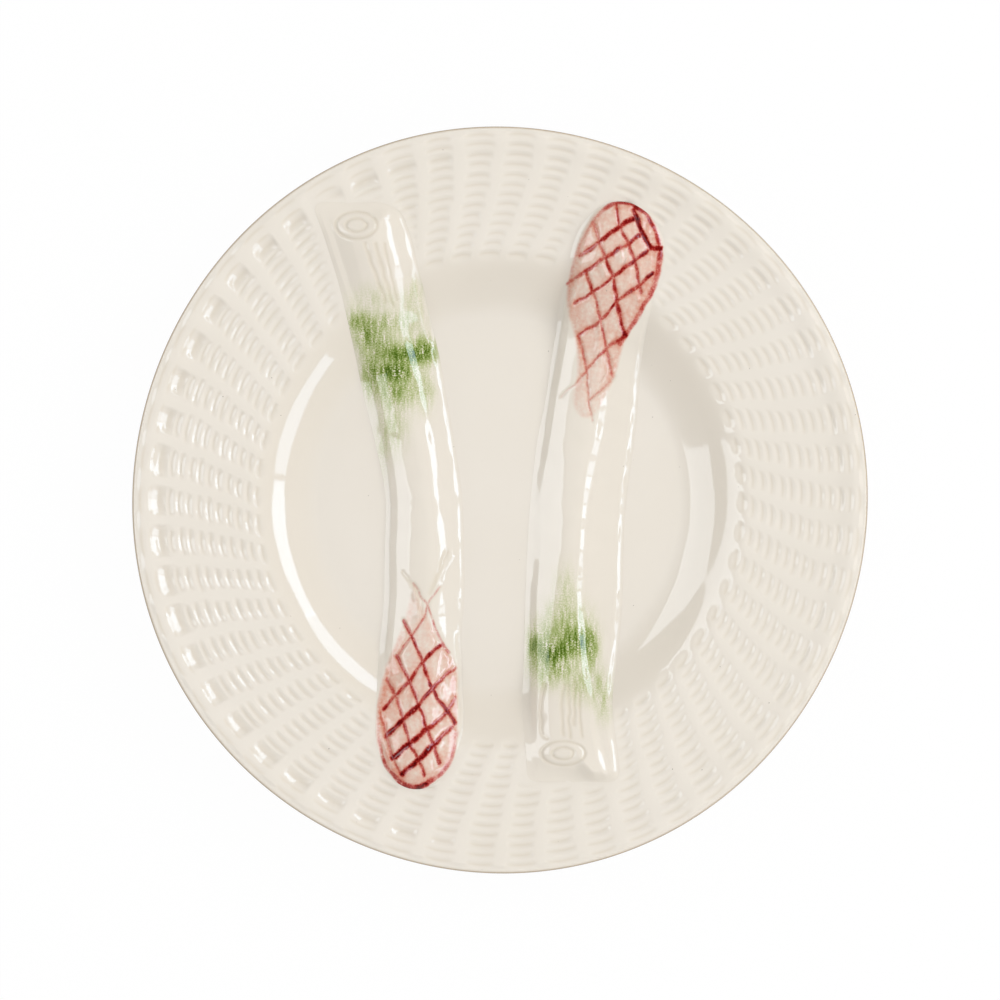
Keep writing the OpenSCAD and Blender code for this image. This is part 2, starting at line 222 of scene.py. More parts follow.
# %% The two outlines
LEFT_ROWS = (
    (204, 313, 322, 345, 374, 387), (215, 316, 325, 346, 384, 398), (226, 320, 328, 347, 389, 403),
    (240, 325, 333, 350, 391, 408), (256, 330, 338, 354, 395, 412), (290, 340, 349, 362, 401, 420),
    (320, 347, 358, 368, 402, 427), (360, 355, 368, 378, 413, 436), (400, 363, 377, 387, 423, 443),
    (440, 373, 385, 396, 430, 450), (498, 384, 393, 407, 437, 458), (550, 383, 392, 406, 442, 460),
    (600, 382, 392, 405, 441, 460), (625, 380, 390, 403, 442, 458), (645, 378, 388, 400, 447, 457),
    (662, 377, 387, 399, 452, 458), (690, 376, 384, 397, 448, 458), (715, 375, 383, 396, 449, 460),
    (740, 375, 383, 396, 447, 458), (787, 374, 382, 394, 443, 455),
)
RIGHT_ROWS = (
    (203, 572, 581, 596, 640, 660), (250, 569, 578, 592, 641, 661), (275, 566, 575, 590, 636, 657),
    (300, 559, 568, 586, 628, 649), (330, 555, 564, 579, 619, 642), (360, 550, 559, 572, 613, 638),
    (400, 544, 552, 566, 604, 635), (440, 536, 546, 562, 597, 631), (470, 532, 541, 561, 590, 627),
    (500, 529, 537, 561, 584, 623), (550, 526, 537, 558, 580, 620), (600, 524, 533, 551, 579, 619),
    (640, 523, 533, 547, 582, 616), (675, 522, 533, 546, 586, 611), (700, 521, 533, 546, 591, 608),
    (735, 523, 533, 547, 595, 611), (760, 525, 534, 548, 601, 614), (780, 526, 535, 548, 608, 615),
)
NOSE_PX = 58


def curve_through(places, values, at):
    """Smooth curve through a few values, without the overshoot of a polynomial."""
    places = np.asarray(places, dtype=float)
    values = np.asarray(values, dtype=float)
    slopes = np.gradient(values, places)
    i = np.clip(np.searchsorted(places, at) - 1, 0, len(places) - 2)
    step = places[i + 1] - places[i]
    t = np.clip((at - places[i]) / step, 0, 1)
    rise = values[i + 1] - values[i]
    m0 = slopes[i] * step
    m1 = slopes[i + 1] * step
    return values[i] + m0 * t + (3 * rise - 2 * m0 - m1) * t**2 + (m0 + m1 - 2 * rise) * t**3


class Spear:
    """Outline of one spear, read at any picture row."""

    def __init__(self, rows, cut_px, point_px, join_px, merge_px, edge_px, butt_steeper):
        self.table = np.array(rows, dtype=float)
        self.cut_px = cut_px
        self.point_px = point_px
        self.join_px = join_px
        self.merge_px = merge_px
        self.edge_px = edge_px
        self.butt_steeper = butt_steeper
        self.grows = np.sign(point_px - cut_px)

    def places(self, row):
        """Left foot, left flank, crown edge, right shoulder and right foot at a picture row."""
        return [curve_through(self.table[:, 0], self.table[:, k], row) for k in range(1, 6)]

    def nose(self, row):
        """1 along the spear, closing to 0 at its point."""
        return quarter_round(np.abs(self.point_px - row) / NOSE_PX)

    def grown_px(self, row):
        """Distance along the spear from its cut end."""
        return (row - self.cut_px) * self.grows

    def past_px(self, row, mark_px):
        """Distance along the spear from a row that marks something on it."""
        return self.grown_px(row) - self.grown_px(mark_px)


SPEARS = {
    "left": Spear(
        LEFT_ROWS, cut_px=204, point_px=787, join_px=636, merge_px=662, edge_px=18,
        butt_steeper=0.04,
    ),
    "right": Spear(
        RIGHT_ROWS, cut_px=780, point_px=203, join_px=381, merge_px=372, edge_px=12,
        butt_steeper=0.0,
    ),
}
print("spears are", [abs(s.point_px - s.cut_px) for s in SPEARS.values()], "pixels long")


def beside_spears(px, row):
    """Distance in pixels from a place in the picture to the nearest spear."""
    nearest = np.full(np.broadcast(px, row).shape, 1e3)
    for spear in SPEARS.values():
        low, high = sorted((spear.cut_px, spear.point_px))
        near = np.clip(row, low, high)
        left, *_, right = spear.places(near)
        middle = (left + right) / 2
        half = (right - left) / 2 * spear.nose(near)
        off = np.hypot(np.clip(np.abs(px - middle) - half, 0, None), row - near)
        nearest = np.minimum(nearest, off)
    return nearest


# %% [markdown]
# ## Basket weave
# On a real plate the weave is pressed into the clay by the mould: 54 columns of stitches that
# lean over on their way in, with a smooth stake between one column and the next. It could be a
# bump map, but highlights break on these stitches from every side, so they are true relief. The
# stakes are low ridges. In the valley between two of them lie 13 creases that bow outwards, steep
# on their outer side and gentle on their inner side.
#
# No two creases are alike, so each gets its own seeded depth, place and width. The mould was also
# worn unevenly: the creases are deeper on the left, where one row near the edge is a broad dent
# and the strip outside it is nearly bare.

# %% The weave's sizes
COLUMNS = 54
STITCHES = 13
WEAVE_IN_R = 86 * MM
WEAVE_OUT_R = CREST_R - LIP_W
STITCH_PITCH = (WEAVE_OUT_R - WEAVE_IN_R) / (STITCHES - 1)
COLUMN_LEAN = np.radians(6)
VALLEY = 0.42 * MM
CREASE_DEPTH = 0.42 * MM
CREASE_HALF = 0.36
CREASE_IN_W = 1.9 * MM
CREASE_OUT_W = 1.25 * MM
CREASE_BOW = 0.55 * MM
FACET_SHARE = 0.8
DENT_ROW = 10
DENT_DEPTH = 1.35 * MM
DENT_IN_W = 5 * MM
DENT_OUT_W = 3.4 * MM
DENT_SHIFT = 0.6 * MM
DENT_ELSEWHERE = 0.34
DEEPER_OUTSIDE = 0.25
DEEPER_ON_LEFT = 0.42
LEFT_RIM_BARE = 0.8
LIP_SWELL = 0.85 * MM
LIP_SWELL_R = CREST_R - 3.4 * MM
LIP_SWELL_W = 3.2 * MM
LIP_FADE_W = 2 * MM
WEAVE_START_W = 3 * MM
WEAVE_END_W = 2.4 * MM
print("stitches are", round(STITCH_PITCH / MM, 2), "mm apart")

# %% One entry for each stitch
DEPTH_RANGE = (0.82, 1.15)
DENT_RANGE = (0.93, 1.07)
WIDTH_RANGE = (0.85, 1.15)
PLACE_STRAY = 0.12 * MM
LEFT_SHARPNESS = 1.6


def column_lean(r):
    """Angle that the columns have leaned over at a radius."""
    return COLUMN_LEAN * np.clip((WEAVE_OUT_R - r) / (WEAVE_OUT_R - WEAVE_IN_R), 0, 1) ** 2


def stitch_tables():
    """Depth, shift and half width of every crease, and how far left each column lies."""
    rng = np.random.default_rng(54)
    rightward = np.cos(np.arange(COLUMNS) * 2 * np.pi / COLUMNS)
    on_left = np.clip(-LEFT_SHARPNESS * rightward, 0, 1)
    pressed = 1 + DEEPER_OUTSIDE * (np.arange(STITCHES) / STITCHES - 0.5)
    depths = CREASE_DEPTH * rng.uniform(*DEPTH_RANGE, (COLUMNS, STITCHES))
    depths *= (1 - DEEPER_ON_LEFT * rightward)[:, None] * pressed[None, :]
    dents = DENT_DEPTH * (DENT_ELSEWHERE + (1 - DENT_ELSEWHERE) * on_left)
    depths[:, DENT_ROW] = dents * rng.uniform(*DENT_RANGE, COLUMNS)
    depths[:, DENT_ROW + 1:] *= 1 - LEFT_RIM_BARE * on_left[:, None]
    shifts = rng.normal(0, PLACE_STRAY, (COLUMNS, STITCHES))
    shifts[:, DENT_ROW] += DENT_SHIFT * on_left
    halves = CREASE_HALF * rng.uniform(*WIDTH_RANGE, (COLUMNS, STITCHES))
    return depths, shifts, halves, on_left


print("deepest crease", round(stitch_tables()[0].max() / MM, 2), "mm")


# %% The weave's relief
def weave_relief(r, u, column, share):
    """Height of the weave above the plain rim, and how deep a crease each point lies in."""
    depths, shifts, halves, on_left = stitch_tables()
    height = np.zeros(r.shape)
    crease = np.zeros(r.shape)
    for k in range(STITCHES):
        across = np.clip(u / halves[column, k], -1, 1)
        taper = np.clip(1 - np.abs(across) ** 3, 0, 1) ** 0.8
        line = WEAVE_IN_R + k * STITCH_PITCH + shifts[column, k] + CREASE_BOW * (1 - across**2)
        off = r - line
        wider = on_left[column] if k == DENT_ROW else 0
        out_w = CREASE_OUT_W + wider * (DENT_OUT_W - CREASE_OUT_W)
        in_w = CREASE_IN_W + wider * (DENT_IN_W - CREASE_IN_W)
        width = np.where(off > 0, out_w, in_w)
        bend = 0.5 + 0.5 * np.cos(np.pi * np.clip(off / width, -1, 1))
        facet = np.clip(1 - off / width, 0, 1)
        wall = np.where(off > 0, FACET_SHARE * facet + (1 - FACET_SHARE) * bend, bend)
        height -= depths[column, k] * taper * wall
        crease += taper * wall**3
    starts = smooth((r - WEAVE_IN_R) / WEAVE_START_W + 1)
    ends = smooth((CREST_R - r) / WEAVE_END_W)
    valley = VALLEY * (0.5 + 0.5 * np.cos(2 * np.pi * u)) * (starts * ends)
    lip = LIP_SWELL * np.exp(-(((r - LIP_SWELL_R) / LIP_SWELL_W) ** 2) / 2)
    lip *= smooth((CREST_R - r) / LIP_FADE_W)
    return (height - valley + lip) * share, crease * share


# %% [markdown]
# ## The plate
# The plate body is one piece of clay. A lathe shape would give the profile but not the weave, so
# the sheet is wrapped: it starts at the middle of the well, runs out over the rim, rolls
# round the edge and comes back underneath. The rows stand close where the weave needs them and
# far apart on the flat floor. The underside is the upper face set back by the clay's thickness.

# %% The plate's rows
POINTS_PER_COLUMN = 24
FLOOR_ROWS = 10
WALL_ROWS = 30
ROWS_PER_STITCH = 15
LIP_ROWS = 10
EDGE_ROWS = 9
UNDER_ROWS = 44
MIDDLE_R = 4 * MM
EDGE_T = 3.0 * MM
RIM_T = 4.2 * MM
FLOOR_T = FLOOR_Z - UNDERSIDE_Z


def underside_z(r):
    """Underside: the upper face set back by the thickness of the clay, square to the slope."""
    inner = FLOOR_T + (RIM_T - FLOOR_T) * smooth((r - WELL_R) / (SHOULDER_R - WELL_R))
    outer = RIM_T + (EDGE_T - RIM_T) * smooth((r - SHOULDER_R) / (CREST_R - SHOULDER_R))
    slope = (surface_z(r + 0.5 * MM) - surface_z(r - 0.5 * MM)) / MM
    thickness = np.where(r < SHOULDER_R, inner, outer)
    return np.maximum(UNDERSIDE_Z, surface_z(r) - thickness * np.sqrt(1 + slope**2))


top_r = np.concatenate([
    np.linspace(MIDDLE_R, WELL_R, FLOOR_ROWS, endpoint=False),
    np.linspace(WELL_R, WEAVE_IN_R, WALL_ROWS, endpoint=False),
    np.linspace(WEAVE_IN_R, WEAVE_OUT_R, ROWS_PER_STITCH * (STITCHES - 1), endpoint=False),
    np.linspace(WEAVE_OUT_R, CREST_R, LIP_ROWS, endpoint=False),
])
turn = np.linspace(0, np.pi, EDGE_ROWS)
edge_r = CREST_R + ROLL * np.sin(turn)
edge_z = CREST_Z - EDGE_T / 2 + EDGE_T / 2 * np.cos(turn)
under_r = np.linspace(CREST_R, MIDDLE_R, UNDER_ROWS + 1)[1:]

all_r = np.concatenate([top_r, edge_r, under_r])
all_z = np.concatenate([surface_z(top_r), edge_z, underside_z(under_r)])
on_top = np.arange(len(all_r)) < len(top_r)
print("plate has", len(all_r), "rows of points")

# %% [markdown]
# ### Where the weave and the glaze lie
# The rows become rings of points that follow the lean of the columns, so that no stitch is cut by
# a coarse triangle. The weave fades out beside the spears, where the modeller smoothed it away.
# Two masks go along for the glaze: it pools in the creases, a painted shade darkens the middle
# of the well's wall, and the colour turns brown at the very edge.

# %% Rings of points
EDGE_STRAY = 0.3 * MM
EDGE_LOBES = 4
STRAY_POWER = 4
GLAZE_WAVE = 24 * MM
GLAZE_WAVE_H = 0.035 * MM
WEAVE_FADE_PX = 16


def glaze_waves(x, y):
    """Slow unevenness of the plate's upper face."""
    return GLAZE_WAVE_H * ripple(x, y, GLAZE_WAVE, 7)


steps = np.arange(COLUMNS * POINTS_PER_COLUMN)
column_of = steps // POINTS_PER_COLUMN
place_in_column = (steps % POINTS_PER_COLUMN) / POINTS_PER_COLUMN - 0.5
ring_r = np.repeat(all_r[:, None], len(steps), axis=1)
turned = (column_of + place_in_column) * 2 * np.pi / COLUMNS
ring_angle = turned[None, :] + np.where(on_top, column_lean(all_r), 0)[:, None]
stray = EDGE_STRAY * (ring_r / CREST_R) ** STRAY_POWER * np.sin(EDGE_LOBES * ring_angle)
plate_x = OVAL * (ring_r + stray) * np.cos(ring_angle)
plate_y = (ring_r + stray) * np.sin(ring_angle)
plate_z = np.repeat(all_z[:, None], len(steps), axis=1)
weave_share = smooth(beside_spears(*to_picture(plate_x, plate_y, plate_z)) / WEAVE_FADE_PX)
relief, crease = weave_relief(
    ring_r, np.broadcast_to(place_in_column, ring_r.shape),
    np.broadcast_to(column_of, ring_r.shape), weave_share,
)
fading = smooth((CREST_R - ring_r) / LIP_FADE_W)
plate_z = plate_z + on_top[:, None] * (relief + glaze_waves(plate_x, plate_y) * fading)
print("weave reaches", round(float(-relief.min()) / MM, 2), "mm into the rim")

# %% The plate's mesh
CREASE_POOL = 0.3
# Painted shade: darkens the middle of the well's wall, all the way round.
WALL_PAINTED_SHADE = 0.16
BROWN_EDGE_W = 0.9 * MM

rows, columns = plate_z.shape
plate_points = np.stack([plate_x, plate_y, plate_z], axis=-1).reshape(-1, 3)
last_row = (rows - 1) * columns
plate_caps = [np.arange(columns), last_row + np.arange(columns)[::-1]]
plate_quads = sheet_quads(rows, columns, closed=True)[:, ::-1]
# Browner towards the very edge of the plate, over the roll and just under it.
thin = smooth((all_r - EDGE_R + BROWN_EDGE_W) / BROWN_EDGE_W)
up_wall = np.clip((ring_r - WELL_R) / (SHOULDER_R - WELL_R), 0, 1)
# The mask holds glaze pooled in the creases plus a painted shade on the well's wall.
pool_and_shade = CREASE_POOL * crease + WALL_PAINTED_SHADE * smooth(4 * up_wall * (1 - up_wall))
plate = build_mesh(
    "plate_body",
    plate_points,
    plate_quads,
    plate_caps,
    {"pool_and_shade": pool_and_shade * on_top[:, None], "brown_edge": np.repeat(thin, columns)},
)
print("plate mesh has", len(plate.data.vertices), "points")

# %% [markdown]
# ## The foot ring
# A plate of this kind stands on a low turned ring under the well. Nobody sees it in the
# photograph, but the plate is a real object and has to stand. It could be two cylinders and a
# boolean cut, but a turned section wrapped round the axis gives clean quads and soft corners. The
# face that it stands on stays free of glaze.

# %% The foot ring's mesh
foot_low, foot_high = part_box("foot_ring")
FOOT_OUT_R = foot_high[0]
FOOT_H = foot_high[2] - foot_low[2]
FOOT_FACE_W = 4.0 * MM
FOOT_BEVEL = 1.2 * MM
FOOT_W = FOOT_FACE_W + 2 * FOOT_BEVEL
FOOT_CORNER_ROWS = 6
FOOT_SIDE_ROWS = 7
FOOT_POINTS = 360


def foot_profile():
    """Radius and height round the ring's section, from its inner top to its outer top."""
    arc = np.linspace(0, np.pi / 2, FOOT_CORNER_ROWS)
    in_r = FOOT_OUT_R - FOOT_W + FOOT_BEVEL * (1 - np.cos(arc))
    down_in = np.stack([in_r, FOOT_BEVEL * (1 - np.sin(arc))], 1)
    out_r = FOOT_OUT_R - FOOT_BEVEL * (1 - np.sin(arc))
    up_out = np.stack([out_r, FOOT_BEVEL * (1 - np.cos(arc))], 1)
    side = np.linspace(FOOT_H, FOOT_BEVEL, FOOT_SIDE_ROWS + 1)[:-1]
    inner = np.stack([np.full(FOOT_SIDE_ROWS, FOOT_OUT_R - FOOT_W), side], 1)
    outer = np.stack([np.full(FOOT_SIDE_ROWS, FOOT_OUT_R), side[::-1]], 1)
    return np.concatenate([inner, down_in, up_out, outer])


section = foot_profile()
foot_angle = np.arange(FOOT_POINTS) * 2 * np.pi / FOOT_POINTS
foot_points = np.stack([
    section[:, :1] * np.cos(foot_angle), section[:, :1] * np.sin(foot_angle),
    np.repeat(section[:, 1:], FOOT_POINTS, axis=1),
], axis=-1).reshape(-1, 3)
foot_quads = sheet_quads(len(section), FOOT_POINTS, closed=True)
lid = sheet_quads(2, FOOT_POINTS, closed=True)
last_row = (len(section) - 1) * FOOT_POINTS
foot_lid = np.where(lid >= FOOT_POINTS, lid - FOOT_POINTS, lid + last_row)
foot = build_mesh("foot_ring_turned", foot_points, np.concatenate([foot_quads, foot_lid]))
print("foot ring stands on a face", round(FOOT_FACE_W / MM, 1), "mm wide")

# %% [markdown]
# ## Strokes
# Grooves between the scales of a bud, flutes on the stalk and brush lines all follow strokes that
# a hand drew. A texture painted by hand would hold them, but a list of a few places for each
# stroke is lighter and stays sharp at any size. Each stroke says how thick the colour lies at its
# start and at its end, how wide the brush was, and where it went. The same strokes sink the
# grooves into the clay and carry the colour, so paint and relief always agree.
#
# A spear has five kinds. The lattice parts the scales, the edges are brush lines along the bud's
# outline, and the flutes carry no colour. Lips are the tips of scales that stand proud and catch
# the light, each with its width and its places. The wash is the outline that was filled with
# pink. The ring on the cut face is an oval: its middle and its two half widths.

# %% Strokes of the left spear
LEFT_LATTICE = (
    (0.10, 0.25, 2.2, ((439, 587), (427, 604), (424, 617), (411, 636), (397, 654))),
    (0.65, 0.50, 2.6, ((440, 645), (422, 661), (409, 681), (395, 694), (383, 708))),
    (0.30, 1.25, 2.8, ((455, 667), (443, 677), (432, 688), (419, 703), (403, 718), (387, 734))),
    (0.20, 1.35, 3.0, ((455, 697), (444, 714), (427, 727), (410, 741), (393, 756))),
    (0.40, 1.35, 3.0, ((452, 726), (441, 735), (419, 757), (402, 771))),
    (0.08, 0.30, 2.2, ((413, 583), (420, 595), (427, 605), (434, 625), (441, 642), (448, 652))),
    (0.45, 0.85, 2.4, ((403, 620), (411, 636), (422, 661), (432, 688), (445, 707), (455, 722))),
    (0.40, 0.65, 2.3, ((396, 655), (409, 681), (419, 704), (427, 727), (435, 745), (440, 761))),
    (0.25, 0.65, 2.3, ((386, 679), (395, 694), (403, 718), (410, 741), (419, 757), (425, 772))),
    (0.10, 0.30, 2.2, ((380, 711), (387, 735), (393, 756), (402, 772))),
)
LEFT_EDGES = (
    (0.02, 0.05, 3.0, ((386, 664), (380, 690), (378, 713), (379, 740))),
    (0.12, 0.60, 3.5, ((379, 738), (385, 761), (398, 777))),
    (0.70, 1.00, 4.2, ((400, 780), (408, 784), (417, 785), (426, 782))),
    (0.45, 0.10, 4.0, ((427, 781), (441, 771), (452, 755), (456, 730))),
)
LEFT_WASH = (
    (413, 585), (424, 610), (440, 642), (455, 664), (457, 700), (456, 740), (450, 760), (432, 779),
    (414, 787), (398, 779), (385, 762), (377, 738), (377, 712), (381, 686), (389, 658), (402, 625),
)
LEFT_FLUTES = (
    (0, 0, 2.0, ((366, 246), (374, 270), (386, 302))),
    (0, 0, 2.2, ((376, 246), (384, 275), (393, 306))),
    (0, 0, 1.8, ((385, 246), (390, 272), (396, 300))),
    (0, 0, 2.4, ((446, 552), (438, 572), (430, 592))),
    (0, 0, 2.0, ((403, 572), (412, 584), (419, 598), (420, 612))),
)
LEFT_LIPS = (
    (2.6, ((427, 674), (430, 685), (424, 695))),
    (2.6, ((436, 676), (438, 660), (442, 650), (449, 658))),
    (2.8, ((430, 633), (434, 641), (431, 648))),
    (2.7, ((415, 594), (419, 603), (418, 614))),
    (2.5, ((404, 677), (407, 687))),
    (2.5, ((414, 699), (411, 707))),
    (2.5, ((443, 703), (447, 715), (452, 724))),
    (2.6, ((427, 745), (430, 755), (431, 766))),
    (2.7, ((443, 677), (440, 690), (441, 701))),
    (2.6, ((452, 556), (442, 572), (432, 592))),
    (2.6, ((442, 740), (437, 748), (434, 754))),
)
LEFT_RING = (357, 227, 20.5, 13.5)
print("left bud has", len(LEFT_LATTICE), "grooves and", len(LEFT_LIPS), "lips")

# %% Strokes of the right spear
RIGHT_LATTICE = (
    (0.45, 0.95, 2.8, ((579, 257), (599, 243), (618, 229), (631, 221))),
    (0.22, 0.85, 2.6, ((567, 283), (585, 272), (604, 259), (626, 246), (637, 238))),
    (0.40, 0.75, 2.5, ((574, 303), (592, 293), (612, 278), (633, 262), (646, 253))),
    (0.28, 0.75, 2.6, ((578, 335), (600, 320), (616, 302), (638, 286), (651, 274))),
    (0.14, 0.55, 2.6, ((586, 369), (604, 350), (625, 335))),
    (0.12, 0.05, 2.0, ((588, 400), (604, 387), (614, 375))),
    (0.04, 0.14, 2.2, ((561, 396), (572, 386), (586, 371))),
    (0.15, 0.75, 2.5, ((592, 224), (598, 244), (604, 260), (612, 279), (616, 303), (624, 335))),
    (0.45, 0.45, 2.4, ((615, 206), (618, 228), (626, 246), (633, 263), (637, 281), (640, 293))),
    (1.00, 0.90, 2.8, ((632, 212), (640, 233), (649, 249), (659, 249))),
    (0.45, 0.15, 2.4, ((584, 272), (592, 293), (600, 320), (606, 350), (612, 374))),
    (0.20, 0.08, 2.2, ((578, 336), (586, 370), (588, 400), (592, 420))),
)
RIGHT_EDGES = (
    (0.04, 0.10, 3.0, ((568, 305), (569, 282), (574, 260), (582, 240), (594, 220))),
    (0.25, 0.65, 3.5, ((597, 217), (612, 205), (632, 205))),
    (0.70, 0.45, 3.0, ((630, 205), (645, 217), (655, 236), (659, 256))),
    (0.40, 0.25, 4.5, ((659, 256), (655, 280), (645, 302), (630, 327), (619, 343))),
)
RIGHT_WASH = (
    (620, 202), (640, 208), (655, 229), (661, 255), (655, 284), (642, 310), (624, 341), (614, 376),
    (596, 412), (580, 416), (572, 398), (577, 372), (575, 340), (567, 308), (568, 280), (577, 245),
    (596, 213),
)
RIGHT_FLUTES = (
    (0, 0, 2.0, ((563, 684), (561, 705), (562, 732))),
    (0, 0, 1.8, ((568, 684), (568, 710), (569, 735))),
    (0, 0, 2.0, ((574, 680), (573, 705), (573, 722))),
    (0, 0, 1.8, ((579, 692), (579, 715), (581, 735))),
    (0, 0, 2.0, ((544, 682), (540, 705), (541, 730), (546, 736))),
)
RIGHT_LIPS = (
    (2.6, ((601, 268), (605, 277))),
    (3.5, ((626, 264), (629, 277), (626, 290))),
    (2.6, ((633, 222), (635, 238), (641, 249))),
    (2.7, ((642, 219), (641, 230), (646, 234), (649, 227))),
    (2.6, ((650, 262), (649, 272), (642, 277))),
    (2.6, ((598, 318), (600, 336), (597, 352))),
    (2.7, ((600, 354), (601, 366), (598, 380))),
    (2.7, ((612, 374), (604, 381), (596, 391))),
    (2.6, ((622, 343), (616, 358), (612, 370))),
    (2.6, ((634, 292), (637, 300))),
    (2.7, ((619, 252), (621, 262))),
)
RIGHT_RING = (562, 751, 21.5, 12.0)
print("right bud has", len(RIGHT_LATTICE), "grooves and", len(RIGHT_LIPS), "lips")

# %% [markdown]
# ## From strokes to depth and colour
# Every point of a spear now needs to know how near it lies to a stroke. Painting the strokes into
# an image and looking it up would tie them to one size. The distance to each short leg of a
# stroke is quick to work out for all points at once, and it gives the groove, the colour and the
# lips from the same list. A slight shake and a changing load keep the lines from looking ruled.

# %% Reading strokes
STEPS_PER_LEG = 4
BRUSH_SHARPNESS = 1.22
BRUSH_THINNEST = 0.55
HAND_SHAKE_PX = 0.35
HAND_SHAKE_LENGTH_PX = 17
LOAD_CHANGE = 0.2
LOAD_LENGTH_PX = 14
THICK_SHARE = 0.4
THICKEST_COLOUR = 1.05


def soften(stroke):
    """Adds points along a stroke so that it bends smoothly."""
    stroke = np.array(stroke, dtype=float)
    legs = np.arange(len(stroke))
    fine = np.linspace(0, len(stroke) - 1, STEPS_PER_LEG * (len(stroke) - 1) + 1)
    return np.stack([curve_through(legs, stroke[:, k], fine) for k in (0, 1)], axis=1)


def to_leg(px, row, start, end):
    """Share of a leg at the point nearest to a place, and how far right and below it that is."""
    leg = end - start
    t = np.clip(((px - start[0]) * leg[0] + (row - start[1]) * leg[1]) / (leg @ leg), 0, 1)
    return t, px - start[0] - t * leg[0], row - start[1] - t * leg[1]


def stroke_field(px, row, strokes):
    """Depth of the nearest groove, from 0 to 1, and thickness of the colour."""
    groove = np.zeros(px.shape)
    colour = np.zeros(px.shape)
    px = px + HAND_SHAKE_PX * ripple(px, row, HAND_SHAKE_LENGTH_PX, 3)
    row = row + HAND_SHAKE_PX * ripple(px, row, HAND_SHAKE_LENGTH_PX, 4)
    load = 1 + LOAD_CHANGE * ripple(px, row, LOAD_LENGTH_PX, 6)
    for start, end, width, stroke in strokes:
        points = soften(stroke)
        legs = len(points) - 1
        for k in range(legs):
            t, right, below = to_leg(px, row, points[k], points[k + 1])
            away = np.hypot(right, below) / width
            amount = start + (end - start) * (k + t) / legs
            groove = np.maximum(groove, np.exp(-(away**2)))
            loaded = BRUSH_THINNEST + (1 - BRUSH_THINNEST) * np.minimum(amount * load, 1)
            line = np.exp(-((away * BRUSH_SHARPNESS / loaded) ** 4))
            colour = np.maximum(colour, line * amount)
    colour *= load
    thick = (1 - THICK_SHARE) * colour + THICK_SHARE * colour**3
    return groove, np.minimum(thick, THICKEST_COLOUR)


print("brush marks shake by", HAND_SHAKE_PX, "pixels")

# %% Lips and outlines
LIP_BACK_SHARE = 1.6
FAR_PX = 1e3


def lip_height(px, row, lips):
    """Height of scale lips in pixels: they rise gently and drop at a slope of 1 on their right."""
    nearest = np.full(px.shape, FAR_PX)
    height = np.zeros(px.shape)
    for width, stroke in lips:
        points = soften(stroke)
        for start, end in zip(points[:-1], points[1:]):
            _, right, below = to_leg(px, row, start, end)
            away = np.hypot(right, below)
            face = width * np.clip(1 - away / width, 0, 1)
            back = width * np.exp(-((away / (LIP_BACK_SHARE * width)) ** 2))
            height = np.where(away < nearest, np.where(right > 0, face, back), height)
            nearest = np.minimum(nearest, away)
    return height


def inside_px(px, row, outline):
    """Distance in pixels inside a closed outline; negative outside it."""
    points = soften(outline + outline[:1])
    nearest = np.full(px.shape, FAR_PX)
    inside = np.zeros(px.shape, dtype=bool)
    for start, end in zip(points[:-1], points[1:]):
        _, right, below = to_leg(px, row, start, end)
        nearest = np.minimum(nearest, np.hypot(right, below))
        leg = end - start
        crosses = (start[1] > row) != (end[1] > row)
        crossing = start[0] + (row - start[1]) / np.where(crosses, leg[1], 1) * leg[0]
        inside ^= crosses & (px < crossing)
    return np.where(inside, nearest, -nearest)


bud_px = inside_px(*np.meshgrid(np.arange(370, 470), np.arange(580, 800)), LEFT_WASH)
print("the left wash covers", int((bud_px > 0).sum()), "pixels")

# %% [markdown]
# ## Dabs of green
# The green bands were dabbed on with a half-dry brush, so each is a heap of a few soft dabs
# rather than a painted stripe. A stripe with a noisy edge would be simpler, but it would miss the
# uneven heaps. A dab is a place in the picture, two half widths and the thickness of colour that
# it left. With the dabs the handwork on each spear is complete, so it is gathered here by side.

# %% Green dabs
LEFT_DABS = (
    (368, 336, 12, 16, 0.45), (404, 354, 18, 9, 0.75), (424, 350, 10, 11, 0.60),
    (394, 371, 15, 8, 0.95), (370, 372, 8, 18, 0.45), (396, 388, 18, 16, 0.40),
    (410, 325, 14, 26, 0.10), (392, 425, 13, 24, 0.13), (356, 322, 9, 10, 0.30),
    (386, 322, 16, 8, 0.22), (424, 388, 9, 20, 0.14), (382, 450, 6, 24, 0.06),
    (372, 300, 20, 12, 0.07), (385, 345, 10, 14, 0.25), (415, 295, 8, 14, 0.08),
)
RIGHT_DABS = (
    (547, 648, 13, 16, 0.45), (574, 642, 13, 13, 0.70), (555, 654, 12, 8, 0.60),
    (590, 646, 7, 16, 0.50), (565, 622, 20, 18, 0.22), (545, 675, 14, 12, 0.16),
    (585, 682, 18, 16, 0.17), (565, 592, 10, 22, 0.10), (602, 700, 8, 18, 0.12),
    (533, 648, 5, 18, 0.40), (560, 668, 14, 8, 0.25),
)
HANDWORK = {
    "left": {
        "lattice": LEFT_LATTICE, "edges": LEFT_EDGES, "wash": LEFT_WASH, "flutes": LEFT_FLUTES,
        "lips": LEFT_LIPS, "ring": LEFT_RING, "dabs": LEFT_DABS,
    },
    "right": {
        "lattice": RIGHT_LATTICE, "edges": RIGHT_EDGES, "wash": RIGHT_WASH, "flutes": RIGHT_FLUTES,
        "lips": RIGHT_LIPS, "ring": RIGHT_RING, "dabs": RIGHT_DABS,
    },
}


def green_thickness(px, row, dabs):
    """Thickness of green that the dabs left at a place in the picture."""
    total = np.zeros(px.shape)
    for x0, y0, rx, ry, amount in dabs:
        total += amount * np.exp(-(((px - x0) / rx) ** 2) - ((row - y0) / ry) ** 2)
    return total


print("dabs of green:", {side: len(hand["dabs"]) for side, hand in HANDWORK.items()})

